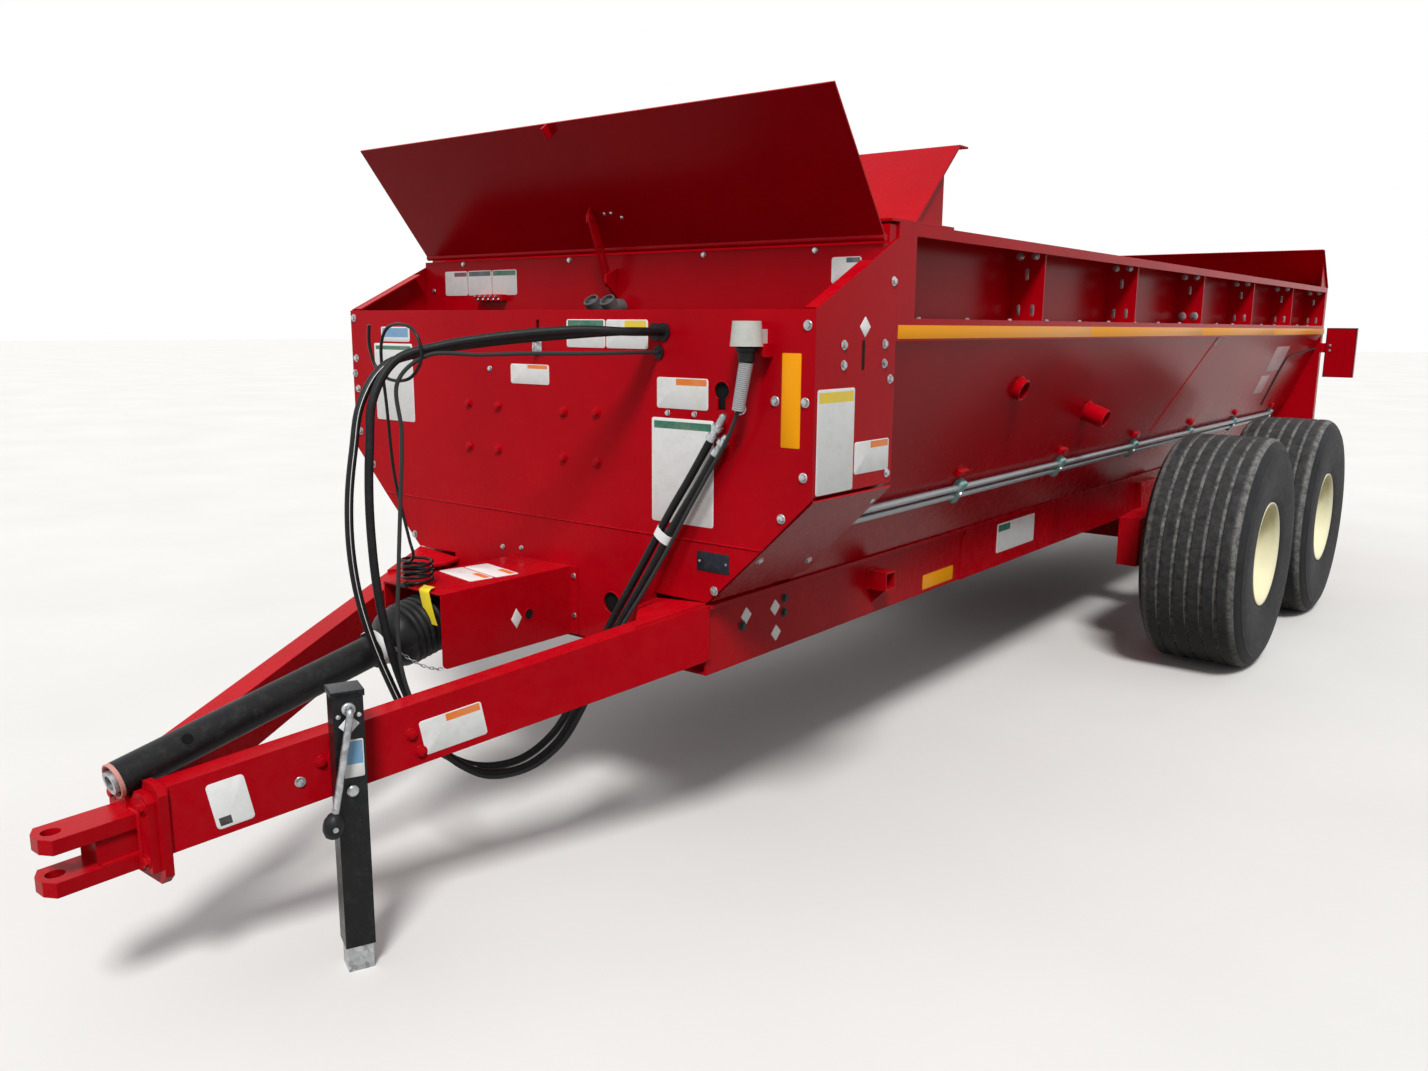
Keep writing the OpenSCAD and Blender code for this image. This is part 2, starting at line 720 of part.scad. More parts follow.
// Bellows at the rear, then a smooth cone, then the straight guard tube
module pto_guard() {
  wall = 5;
  ribs = 6;
  rib_pitch = 18;
  bell_r = 82;
  bell_in_r = 72;
  cone_s = ribs * rib_pitch;
  tube_s = 190;
  bearing_back = 120;
  bearing_w = 14;
  color(black) machine() on_pto() {
    difference() {
      translate([0, 0, tube_s - 10]) cylinder(h = pto_len - tube_s + 10, r = guard_r, $fn = 48);
      translate([0, 0, tube_s - 20]) cylinder(h = pto_len, r = guard_r - wall, $fn = 48);
    }
    difference() {
      translate([0, 0, pto_len - bearing_back]) cylinder(h = bearing_w, r = guard_r - 1, $fn = 48);
      translate([0, 0, pto_len - bearing_back - 1])
        cylinder(h = bearing_w + 2, r = pto_shaft_r + seat, $fn = 48);
    }
    rotate_extrude($fn = 48) polygon(concat(
      [for (i = [0 : ribs - 1], k = [0, 1])
        [k == 0 ? bell_in_r + 4 : bell_r, i * rib_pitch + k * rib_pitch / 2]],
      [[bell_in_r + 4, cone_s], [guard_r + 14, tube_s - 26], [guard_r + 8, tube_s - 14],
        [guard_r + 8, tube_s + 14], [guard_r - 2, tube_s + 14], [guard_r - 2, tube_s - 16],
        [guard_r + 8, tube_s - 32], [bell_in_r - 2, cone_s - 4], [bell_in_r - 2, 0]]
    ));
  }
}

module pto_shaft() {
  socket_r = 17;
  color(steel) machine() on_pto() difference() {
    translate([0, 0, 20]) cylinder(h = pto_len - 14, r = pto_shaft_r, $fn = 48);
    translate([0, 0, pto_len - 60]) cylinder(h = 80, r = socket_r, $fn = 48);
  }
}

module jack_tube() {
  wall = 4;
  color(black) machine() on_beam() {
    difference() {
      translate([jack_out, -jack_s - jack_w / 2, jack_low_z])
        cube([jack_w, jack_w, jack_top_z - jack_low_z]);
      translate([jack_out + wall, -jack_s - jack_w / 2 + wall, jack_low_z - 10])
        cube([jack_w - 2 * wall, jack_w - 2 * wall, 450]);
    }
    translate([jack_out - 3, -jack_s - jack_w / 2 - 3, jack_top_z])
      cube([jack_w + 6, jack_w + 6, 14]);
  }
}

module jack_leg() {
  color(steel) machine() on_beam()
    translate([jack_mid - leg_w / 2, -jack_s - leg_w / 2, 0]) cube([leg_w, leg_w, 430]);
}

module jack_crank() {
  crank_out = 25;
  x = jack_out + jack_w + crank_out;
  arm = 234;
  arm_lean = 45;
  arm_r = 8;
  knob_r = 22;
  pivot_z = jack_top_z - 26;
  color(steel) machine() on_beam() {
    bore_x(-jack_s, pivot_z, arm_r, jack_out + jack_w + 0.2, crank_out - 0.2);
    translate([x, -jack_s, pivot_z]) {
      sphere(r = arm_r + 1, $fn = 24);
      rotate([180 - atan2(arm_lean, arm), 0, 0]) {
        cylinder(h = norm([arm, arm_lean]), r = arm_r, $fn = 24);
        translate([0, 0, norm([arm, arm_lean])]) rotate_extrude($fn = 32) polygon([
          [0, -12], [14, -10], [knob_r, 4], [knob_r, 26], [14, 40], [0, 44]
        ]);
      }
    }
  }
}

// Coordinates on the open flap: +Y runs up the flap from its hinge
module on_flap() {
  translate([flap_shift, front_wall_y - 6, flap_hinge_z]) rotate([180 - flap_angle, 0, 0]) children();
}

module front_flap() {
  t = 5;
  flap_half_w = half_w - 14;
  pin_r = 8;
  latch_x = -21 - flap_shift;
  color(red) machine() {
    on_flap() {
      translate([-flap_half_w, 8, -t / 2]) cube([2 * flap_half_w, flap_len - 8, t]);
      translate([-flap_half_w, 0, 0]) rotate([0, 90, 0]) cylinder(h = 2 * flap_half_w, r = 9, $fn = 32);
      translate([latch_x, flap_len - 34, t / 2 - eps]) cube([6, 34, 26]);
    }
    along_x(stay_x - 7, 6) polygon([
      [stay_pin_y - 14, stay_pin_z - 12], [stay_pin_y - 14, stay_pin_z + 8],
      [stay_pin_y + 4, stay_pin_z + 40], [stay_pin_y + 30, stay_pin_z + 6], [stay_pin_y + 6, stay_pin_z - 16]
    ]);
    bore_x(stay_pin_y, stay_pin_z, pin_r, stay_x - 7 + eps, 15, 32);
  }
}

module flap_stay() {
  over = 22;
  bar_w = 30;
  bar_t = 6;
  slot_w = 12;
  dir = atan2(stay_pin_z - stay_foot_z, stay_pin_y - stay_foot_y);
  len = norm([stay_pin_z - stay_foot_z, stay_pin_y - stay_foot_y]);
  color(red) machine() difference() {
    translate([stay_x, stay_foot_y, stay_foot_z]) rotate([dir, 0, 0]) difference() {
      union() {
        translate([0, -over, -bar_w / 2]) cube([bar_t, len + over, bar_w]);
        bore_x(len, 0, bar_w / 2, 0, bar_t);
      }
      translate([-1, -slot_w / 2, -slot_w / 2]) cube([bar_t + 2, 100, slot_w]);
    }
    bore_x(stay_pin_y, stay_pin_z, 8.3, stay_x - 1, bar_t + 2, 32);
  }
}

module right_side() {
  machine() mirror([1, 0, 0]) children();
}

module discharge_housing() {
  pan_r = expeller_r + 16;
  pan_t = 6;
  end_t = 8;
  x = expeller_at[0];
  z = expeller_at[1];
  y0 = gate_front_y - 20;
  span_y = gate_rear_y - gate_front_y + 40;
  lip_x = rail_x + 6.3;
  color(red) right_side() difference() {
    union() {
      along_y(y0, span_y) {
        difference() {
          intersection() {
            translate([x, z]) circle(r = pan_r + pan_t, $fn = 72);
            translate([x - 240, z - 220]) square([320, 190]);
          }
          translate([x, z]) circle(r = pan_r, $fn = 72);
        }
        polygon([[x - pan_r - 4, z - 36], [x - pan_r - 1, z - 29], [lip_x, rail_top_z],
          [lip_x, rail_top_z - 7]]);
      }
      for (y = [y0, y0 + span_y - end_t]) along_y(y, end_t) polygon([
        slant(12, seat), slant(slant_len, seat), slant(slant_len + 40, 60),
        [x + 120, z + 160], [x + 175, z - 40], [x + 90, z - 165], [x - 60, z - 180],
        [lip_x, rail_low_z + 60]
      ]);
    }
    bore_y(x, z, expeller_shaft_r + seat, y0 - 40, span_y + 80);
  }
}

module expeller() {
  len = gate_rear_y - gate_front_y - 40;
  y0 = gate_front_y + 20;
  blades = 4;
  rows = 9;
  drum_r = 60;
  blade_root = 50;
  blade_t = 20;
  blade_w = 24;
  color(worn_red) machine() translate([-expeller_at[0], 0, expeller_at[1]]) {
    bore_y(0, 0, drum_r, y0, len);
    bore_y(0, 0, expeller_shaft_r, gate_front_y - 40, gate_rear_y - gate_front_y + 80);
    for (i = [0 : rows - 1], j = [0 : blades - 1])
      translate([0, y0 + 30 + i * (len - 80) / (rows - 1), 0])
        rotate([0, 90 * j + 22.5 * i, 0])
          translate([-blade_w / 2, 0, blade_root]) cube([blade_w, blade_t, expeller_r - blade_root]);
  }
}

// Round bar or tube along the gate's cylinder, from u0, on the right side
module on_cylinder(u0) {
  p = slant(u0, gate_out + gate_t / 2);
  translate([p[0], gate_mid_y, p[1]]) rotate([0, 90 - atan2(slant_rise, slant_run), 0]) children();
}

barrel_u = gate_top_u + gate_travel + 10;
barrel_len = gate_travel + 90;

module discharge_gate() {
  rod_r = 12;
  root = 20;
  rod_in = 30;
  color(red) right_side() {
    along_y(gate_front_y + 6, gate_rear_y - gate_front_y - 12) polygon([
      slant(gate_low_u, gate_out), slant(gate_low_u, gate_out + gate_t),
      slant(gate_top_u, gate_out + gate_t), slant(gate_top_u, gate_out)
    ]);
    on_cylinder(gate_top_u - root) cylinder(h = barrel_u - gate_top_u + root + rod_in, r = rod_r, $fn = 32);
  }
}

module gate_cylinder() {
  barrel_r = 28;
  bore_r = 18;
  lug_u = barrel_u + barrel_len - 20;
  color(black) right_side() {
    difference() {
      on_cylinder(barrel_u) cylinder(h = barrel_len, r = barrel_r, $fn = 48);
      on_cylinder(barrel_u - 10) cylinder(h = barrel_len - 10, r = bore_r, $fn = 48);
    }
    lug = slant(lug_u, gate_out + gate_t / 2);
    along_y(gate_mid_y - 8, 16) polygon([
      [wall_out_x(lug[1] - 30) + seat, lug[1] - 30], [lug[0], lug[1] - 16], [lug[0], lug[1] + 16],
      [wall_out_x(lug[1] + 6) + seat, lug[1] + 6]
    ]);
  }
}

// One helical flight along +Y: rings of four corners, joined ring to ring
module auger_flight(hand, y0, len) {
  flight_t = 10;
  flight_steps = 12;
  turns = (len - flight_t) / flight_pitch;
  steps = ceil(turns * flight_steps);
  ri = auger_tube_r - 4;
  rings = [
    for (i = [0 : steps], c = [[ri, 0], [flight_r, 0], [flight_r, flight_t], [ri, flight_t]])
      let (a = hand * 360 * turns * i / steps)
      [c[0] * sin(a), y0 + (len - flight_t) * i / steps + c[1], c[0] * cos(a)]
  ];
  sides = [
    for (i = [0 : steps - 1], j = [0 : 3], half = [0, 1])
      let (p = 4 * i + j, q = 4 * i + (j + 1) % 4)
      half == 0 ? [p, q, q + 4] : [p, q + 4, p + 4]
  ];
  last = 4 * steps;
  caps = [[2, 1, 0], [3, 2, 0], [last, last + 1, last + 2], [last, last + 2, last + 3]];
  flip = hand > 0;
  polyhedron(rings, [for (f = concat(sides, caps)) flip ? f : [f[2], f[1], f[0]]]);
}

module auger(hand) {
  end_room = 12;
  flight_room = 30;
  stub_reach = 90;
  y0 = tank_front_y + end_room;
  len = tank_len - 2 * end_room;
  translate([hand * auger_x, 0, auger_z]) {
    bore_y(0, 0, auger_tube_r, y0, len);
    bore_y(0, 0, auger_stub_r, front_wall_y - stub_reach, rear_wall_y + 24 - front_wall_y + stub_reach);
    auger_flight(hand, y0 + flight_room, len - 2 * flight_room);
  }
}

module auger_left() {
  color(worn_red) machine() auger(1);
}

module auger_right() {
  color(worn_red) machine() auger(-1);
}

module axle_tube() {
  low = pivot_z - axle_tube_w / 2;
  top = pivot_z + axle_tube_w / 2;
  hanger_t = 28;
  hanger_top_z = 685;
  hanger_top_half = 126;
  hanger_low_half = 90;
  color(red) machine() {
    translate([-beam_in_x + 8, axle_mid_y - axle_tube_w / 2, low])
      cube([2 * beam_in_x - 16, axle_tube_w, axle_tube_w]);
    both_sides() {
      bore_x(axle_mid_y, pivot_z, pivot_r, beam_in_x - 9, beam_t + 30);
      along_x(rail_x + seat, hanger_t) polygon([
        [axle_mid_y - hanger_top_half, hanger_top_z], [axle_mid_y + hanger_top_half, hanger_top_z],
        [axle_mid_y + hanger_low_half, pivot_z], [axle_mid_y + hanger_low_half, low - 12],
        [axle_mid_y - hanger_low_half, low - 12], [axle_mid_y - hanger_low_half, pivot_z]
      ]);
      translate([rail_in_x, axle_mid_y - axle_tube_w / 2, top - eps])
        cube([rail_flange, axle_tube_w, rail_low_z - top - seat]);
    }
  }
}

module walking_beams() {
  f = axle_front_y;
  r = axle_front_y + axle_pitch;
  end_low_z = 385;
  end_high_z = 600;
  top_z = 612;
  low_z = 380;
  mid_low_z = 360;
  boss_r = 60;
  boss_len = 50;
  spindle_len = 424;
  color(red) machine() both_sides() difference() {
    union() {
      along_x(beam_in_x, beam_t) polygon([
        [f - 100, end_low_z], [f - 100, end_high_z], [f + 80, top_z], [r - 80, top_z],
        [r + 100, end_high_z], [r + 100, end_low_z], [r - 80, low_z],
        [axle_mid_y + 130, mid_low_z], [axle_mid_y - 130, mid_low_z], [f + 80, low_z]
      ]);
      for (y = [f, r]) {
        bore_x(y, tyre_r, boss_r, beam_in_x + beam_t - eps, boss_len);
        bore_x(y, tyre_r, spindle_r, beam_in_x + beam_t - eps, spindle_len);
      }
    }
    bore_x(axle_mid_y, pivot_z, pivot_r + seat, beam_in_x - 20, beam_t + 60);
  }
}

// Wheel drawn with its axis along +X and its outer side at +X
module rim_shape() {
  half = [for (p = [[17, 190], [17, 183], [7, 178], [0, 174], [0, 120], [-17, 95]]) [rim_r + p[0], p[1]]];
  inner = [for (p = [[-24, 97], [-7, 122], [-7, 174], [-1, 181], [9, 190]]) [rim_r + p[0], p[1]]];
  disc_x = 60;
  hub_r = 92;
  cap_r = 52;
  color(cream) rotate([0, 90, 0]) difference() {
    union() {
      rotate_extrude($fn = 72) polygon(concat(
        half, [for (i = [5 : -1 : 0]) [half[i][0], -half[i][1]]],
        [for (i = [4 : -1 : 0]) [inner[i][0], -inner[i][1]]], inner
      ));
      rotate_extrude($fn = 72) polygon([
        [hub_r - 4, disc_x - 34], [rim_r - 20, disc_x], [rim_r - 20, disc_x + 9],
        [hub_r - 4, disc_x - 24]
      ]);
      translate([0, 0, -170]) cylinder(h = 215, r = hub_r, $fn = 48);
      translate([0, 0, 40]) cylinder(h = 80, r = cap_r, $fn = 48);
    }
    translate([0, 0, -200]) cylinder(h = 306, r = spindle_r + 0.1, $fn = 48);
  }
}

module tyre_shape() {
  k = tyre_w / 2 - 208;
  groove_d = 11;
  groove_w = 13;
  bead = [for (p = [[173.6, 0.2], [177.6, 7.3], [182.6, 17.4], [188, 19]]) [rim_r + p[1], p[0]]];
  wall = [for (p = [[194, 254], [204, 179], [208, 109], [204, 64], [194, 32], [178, 12], [160, 2],
    [145, 0]]) [tyre_r - p[1], p[0] + k]];
  half = concat(bead, wall);
  n = len(half);
  color(black) rotate([0, 90, 0]) rotate_extrude($fn = 72) difference() {
    polygon(concat(half, [for (i = [n - 1 : -1 : 0]) [half[i][0], -half[i][1]]]));
    for (g = [-112, -56, 0, 56, 112])
      translate([tyre_r - groove_d, g - groove_w / 2]) square([groove_d + 5, groove_w]);
  }
}

module wheel_place(side, axle) {
  machine() translate([side * wheel_x, axle_front_y + axle * axle_pitch, tyre_r])
    rotate([0, 0, side > 0 ? 0 : 180]) children();
}

module rim_left_front() {
  wheel_place(1, 0) rim_shape();
}

module rim_left_rear() {
  wheel_place(1, 1) rim_shape();
}

module rim_right_front() {
  wheel_place(-1, 0) rim_shape();
}

module rim_right_rear() {
  wheel_place(-1, 1) rim_shape();
}

module tyre_left_front() {
  wheel_place(1, 0) tyre_shape();
}

module tyre_left_rear() {
  wheel_place(1, 1) tyre_shape();
}

module tyre_right_front() {
  wheel_place(-1, 0) tyre_shape();
}

module tyre_right_rear() {
  wheel_place(-1, 1) tyre_shape();
}

module oil_tubes() {
  tube_r = 10;
  tube_out = 16;
  tube_len = 5100;
  drops = [33, 66];
  clamp_y = 1150;
  clamp_pitch = 870;
  clamp_w = 30;
  color(steel) machine() {
    for (d = drops) let (c = slant(slant_len - d, tube_out)) bore_y(c[0], c[1], tube_r, 420, tube_len, 24);
    for (i = [0 : 5]) along_y(clamp_y + i * clamp_pitch, clamp_w) polygon([
      slant(slant_len - 86, seat), slant(slant_len - 86, tube_out + 8),
      slant(slant_len - 14, tube_out + 8), slant(slant_len - 14, seat)
    ]);
  }
}

module light_panels() {
  low_z = 1134;
  panel_h = 312;
  panel_w = 173;
  arm_z = 1290;
  color(red) machine() both_sides() {
    translate([wall_x - 60, tank_rear_y + seat, arm_z]) cube([140, 6, 60]);
    translate([half_w + 15, tank_rear_y, low_z]) cube([panel_w, light_t, panel_h]);
  }
}

// Points on a smooth curve through a route's points, some on each span
function between(a, b, c, d, t) =
  0.5 * (2 * b + (c - a) * t + (2 * a - 5 * b + 4 * c - d) * t * t + (3 * b - a - 3 * c + d) * t * t * t);

function smooth(p, steps) = [
  for (i = [0 : len(p) - 2], k = [0 : steps - 1])
    between(p[max(i - 1, 0)], p[i], p[i + 1], p[min(i + 2, len(p) - 1)], k / steps),
  p[len(p) - 1]
];

function unit(v) = v / norm(v);

function heading(p, i) = unit(p[min(i + 1, len(p) - 1)] - p[max(i - 1, 0)]);

function across(v, t) = unit(v - (v * t) * t);

// A vector across the path at each of its points, carried along without twist
function carried(p, first) = [
  for (i = 0, v = across(first, heading(p, 0)); i < len(p); i = i + 1,
    v = across(v, heading(p, min(i, len(p) - 1)))) v
];

// Round tube along a path
module tube(p, r, sides, first = [1, 0, 0]) {
  n = len(p);
  u = carried(p, first);
  rings = [
    for (i = [0 : n - 1])
      let (t = heading(p, i), a = across(u[i], t), b = cross(t, a))
      for (k = [0 : sides - 1]) p[i] + r * (cos(360 * k / sides) * a + sin(360 * k / sides) * b)
  ];
  skin = [
    for (i = [0 : n - 2], k = [0 : sides - 1], h = [0, 1])
      let (q = i * sides + k, w = i * sides + (k + 1) % sides)
      h == 0 ? [q, q + sides, w] : [w, q + sides, w + sides]
  ];
  front = [for (k = [0 : sides - 1]) k];
  back = [for (k = [sides - 1 : -1 : 0]) (n - 1) * sides + k];
  polyhedron(rings, concat(skin, [front, back]));
}

// A child drawn along +Z from the end of a path
module at_end(p) {
  e = p[len(p) - 1];
  t = unit(e - p[len(p) - 2]);
  translate(e) rotate([0, acos(t[2]), atan2(t[1], t[0])]) children();
}

feed_path = smooth(feed_route, 3);
return_path = smooth(return_route, 3);
cable_path = smooth(cable_route, 3);

module hose_feed() {
  color(black) machine() tube(feed_path, hose_r, 10);
}

module hose_return() {
  color(black) machine() tube(return_path, hose_r, 10);
}

module cable_lights() {
  color(black) machine() tube(cable_path, cable_r, 8);
}

function grommet_neck_r(r) = r + 7;

// Grommet in the panel, its front lip t thick and its cord of radius r starting on it
module grommet(r, t) {
  lip = 12;
  neck = 6;
  translate([0, -t, 0]) {
    bore_y(0, 0, r + lip, 0, t - seat, 32);
    bore_y(0, 0, grommet_neck_r(r) - seat, 0, t + neck + 5, 32);
    bore_y(0, 0, r + lip, t + neck + seat, 5, 32);
  }
}

module hose_grommets() {
  color(black) machine() {
    for (i = [0, 1]) translate([hose_hole_x[i], 0, hose_hole_z]) grommet(hose_r, hose_grommet_t[i]);
    translate([cable_hole[0], 0, cable_hole[1]]) grommet(cable_r, cable_grommet_t);
  }
}

// Sprung rod: a coil over its clamp, a leg up, and a ring that the hoses pass through
module hose_hanger() {
  rod_r = 5;
  coil_at = [-49, -420];
  coil_r = 39;
  coil_z = 768;
  coil_pitch = 15;
  coil_n = 4;
  turn_n = 14;
  coil = [
    for (i = [0 : coil_n * turn_n])
      let (a = -90 + 360 * i / turn_n)
      [coil_at[0] + coil_r * cos(a), coil_at[1] + coil_r * sin(a), coil_z + coil_pitch * i / turn_n]
  ];
  rise = [
    [-20, -462, 833], [0, -468, 856], [-8, -474, 900], [-40, -486, 1060], [-28, -508, 1240],
    [-25, -518, 1327], [-21, -520, 1385], [3, -521, 1422], [47, -522, 1434], [99, -521, 1426],
    [128, -520, 1394], [131, -520, 1348], [92, -526, 1306], [26, -534, 1302], [-20, -540, 1332],
    [-38, -543, 1386], [-30, -546, 1432]
  ];
  clamp_w = 30;
  clamp_top_z = 768 - rod_r + 4;
  color(black) machine() {
    tube(concat(coil, smooth(rise, 3)), rod_r, 8, [0, 0, 1]);
    translate([coil_at[0] - clamp_w / 2, coil_at[1] - coil_r - 14, 760 + seat])
      cube([clamp_w, 28, clamp_top_z - 760 - seat]);
  }
}

module coupler_tip(len) {
  rotate_extrude($fn = 32) polygon([
    [0, 0.1], [hose_r + 3.5, 0.1], [hose_r + 3.5, 16], [hose_r, 18], [hose_r, 30],
    [hose_r + 4, 32], [hose_r + 4, 44], [hose_r - 1, 46], [hose_r - 1, len - 8],
    [hose_r - 4, len], [0, len]
  ]);
}

module coupler_tips() {
  color(steel) machine() {
    at_end(feed_path) coupler_tip(78);
    at_end(return_path) coupler_tip(60);
  }
}

// Cup on the panel that the lamp plug is parked in
module plug_cup() {
  low_z = 1389;
  high_z = 1448;
  low_r = 40;
  high_r = 34.5;
  plug_r = 25;
  foot_w = 50;
  color("#b5b5ad") machine() difference() {
    union() {
      translate([plug_at[0], plug_at[1], low_z])
        cylinder(h = high_z - low_z, r1 = low_r, r2 = high_r, $fn = 48);
      translate([plug_at[0] - foot_w / 2, plug_at[1], low_z])
        cube([foot_w, -plug_at[1] - seat, 40]);
    }
    translate([plug_at[0], plug_at[1], low_z - 1]) cylinder(h = 30, r = plug_r + 0.3, $fn = 48);
  }
}

module cable_plug() {
  body_z = 1355;
  body_r = 25;
  cup_z = 1389;
  relief_len = body_z - cable_route[len(cable_route) - 1][2] + 4;
  color(black) machine() {
    at_end(cable_path) translate([0, 0, 0.1])
      cylinder(h = relief_len, r1 = cable_r + 3, r2 = 15, $fn = 32);
    translate([plug_at[0], plug_at[1], body_z]) {
      cylinder(h = cup_z - body_z - seat, r = body_r, $fn = 48);
      cylinder(h = cup_z - body_z + 24, r = body_r - 2, $fn = 48);
    }
  }
}

frame_rails();
cross_members();
tongue_beams();
hitch_clevis();
front_panel_upper();
front_panel_lower();
side_plates();
lower_covers();
front_wall();
tank_wall_left();
tank_wall_right();
trough();
rear_wall();
side_board_left();
side_board_right();
front_lip();
rear_lip();
pto_hood();
gearbox();
pto_guard();
pto_shaft();
jack_tube();
jack_leg();
jack_crank();
front_flap();
flap_stay();
discharge_housing();
expeller();
discharge_gate();
gate_cylinder();
auger_left();
auger_right();
axle_tube();
walking_beams();
rim_left_front();
rim_left_rear();
rim_right_front();
rim_right_rear();
tyre_left_front();
tyre_left_rear();
tyre_right_front();
tyre_right_rear();
oil_tubes();
light_panels();
hose_hanger();
hose_grommets();
hose_feed();
hose_return();
cable_lights();
coupler_tips();
plug_cup();
cable_plug();
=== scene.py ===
"""Looks of a trailed V-tank manure spreader, dressed on its packed construction model.

Places are given in millimetres counted from the front panel, as in the
construction source, and turned to metres in the part's frame by at().
"""

import logging
import math
from dataclasses import dataclass
from enum import Enum
from typing import Callable, Iterable, Sequence

import bmesh
import bpy
from mathutils import Matrix, Vector

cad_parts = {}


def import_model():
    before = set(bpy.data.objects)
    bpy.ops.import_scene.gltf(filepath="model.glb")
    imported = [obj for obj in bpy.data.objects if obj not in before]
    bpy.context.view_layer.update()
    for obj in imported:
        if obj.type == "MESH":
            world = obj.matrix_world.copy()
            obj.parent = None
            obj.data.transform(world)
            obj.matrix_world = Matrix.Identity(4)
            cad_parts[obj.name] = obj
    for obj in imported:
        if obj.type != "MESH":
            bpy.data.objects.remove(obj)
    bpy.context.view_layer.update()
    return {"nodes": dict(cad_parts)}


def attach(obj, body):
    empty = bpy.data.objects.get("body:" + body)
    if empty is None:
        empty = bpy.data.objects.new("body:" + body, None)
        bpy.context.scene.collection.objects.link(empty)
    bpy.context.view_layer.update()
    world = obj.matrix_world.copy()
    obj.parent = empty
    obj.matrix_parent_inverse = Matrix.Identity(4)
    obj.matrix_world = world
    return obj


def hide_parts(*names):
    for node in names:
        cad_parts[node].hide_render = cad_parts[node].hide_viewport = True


log = logging.getLogger("spreader")

MM = 0.001
PANEL_Y = -2.312
HALF_W = 907.0
TAU = 2 * math.pi
IN_MM = Matrix.Scale(MM, 4)
SIDES = (("left", 1), ("right", -1))
Point = Sequence[float]


def at(x: float, y: float, z: float) -> Vector:
    """Turns a place counted in mm from the front panel into the part's frame.

    Args:
        x: Distance to the machine's left, mm.
        y: Distance behind the front panel, mm.
        z: Height, mm.

    Returns:
        The place in metres.
    """
    return Vector((x * MM, y * MM + PANEL_Y, z * MM))


def linear(hex_colour: str) -> tuple[float, float, float, float]:
    """Turns an sRGB hex colour into linear RGBA.

    Args:
        hex_colour: Six hex digits with a leading hash.

    Returns:
        Linear red, green, blue and an alpha of one.
    """
    raw = [int(hex_colour[i : i + 2], 16) / 255 for i in (1, 3, 5)]
    rgb = [c / 12.92 if c <= 0.04045 else ((c + 0.055) / 1.055) ** 2.4 for c in raw]
    return (rgb[0], rgb[1], rgb[2], 1.0)


def add_node(tree: bpy.types.NodeTree, kind: str, ins: dict | None = None, **sets: object) -> bpy.types.Node:
    """Adds one shader node with its settings and its inputs.

    Args:
        tree: The material's or world's node tree.
        kind: The node's type name after ShaderNode.
        ins: Inputs by name or index, each a value or another node's output.
        **sets: Properties by name.

    Returns:
        The new node.
    """
    node = tree.nodes.new(f"ShaderNode{kind}")
    for key, value in sets.items():
        setattr(node, key, value)
    for key, value in (ins or {}).items():
        if isinstance(value, bpy.types.NodeSocket):
            tree.links.new(value, node.inputs[key])
        else:
            node.inputs[key].default_value = value
    return node


def set_ramp(node: bpy.types.Node, stops: Iterable[tuple[float, str]]) -> None:
    """Gives a colour ramp its stops.

    Args:
        node: A colour ramp node.
        stops: Positions with sRGB hex colours, in rising order.
    """
    elements = node.color_ramp.elements
    stops = list(stops)
    while len(elements) < len(stops):
        elements.new(0.5)
    for element, (place, colour) in zip(elements, stops):
        element.position = place
        element.color = linear(colour)


@dataclass(frozen=True)
class Finish:
    """Base of every finish: makes its material once and hands it out by name.

    Its slot names a material slot, which this script doesn't use.
    """

    name: str
    slot: str = ""

    def shade(self, tree: bpy.types.NodeTree, bsdf: bpy.types.Node, coord: bpy.types.NodeSocket) -> None:
        """Adds the finish's nodes; every finish gives its own."""
        raise NotImplementedError

    def material(self) -> bpy.types.Material:
        """Builds the material, or returns the one already built.

        Returns:
            The finish's material.
        """
        found = bpy.data.materials.get(self.name)
        if found:
            return found
        made = bpy.data.materials.new(self.name)
        made.use_nodes = True
        tree = made.node_tree
        tree.nodes.clear()
        bsdf = add_node(tree, "BsdfPrincipled")
        out = add_node(tree, "OutputMaterial")
        tree.links.new(bsdf.outputs[0], out.inputs[0])
        coord = add_node(tree, "TexCoord").outputs["Object"]
        self.shade(tree, bsdf, coord)
        return made


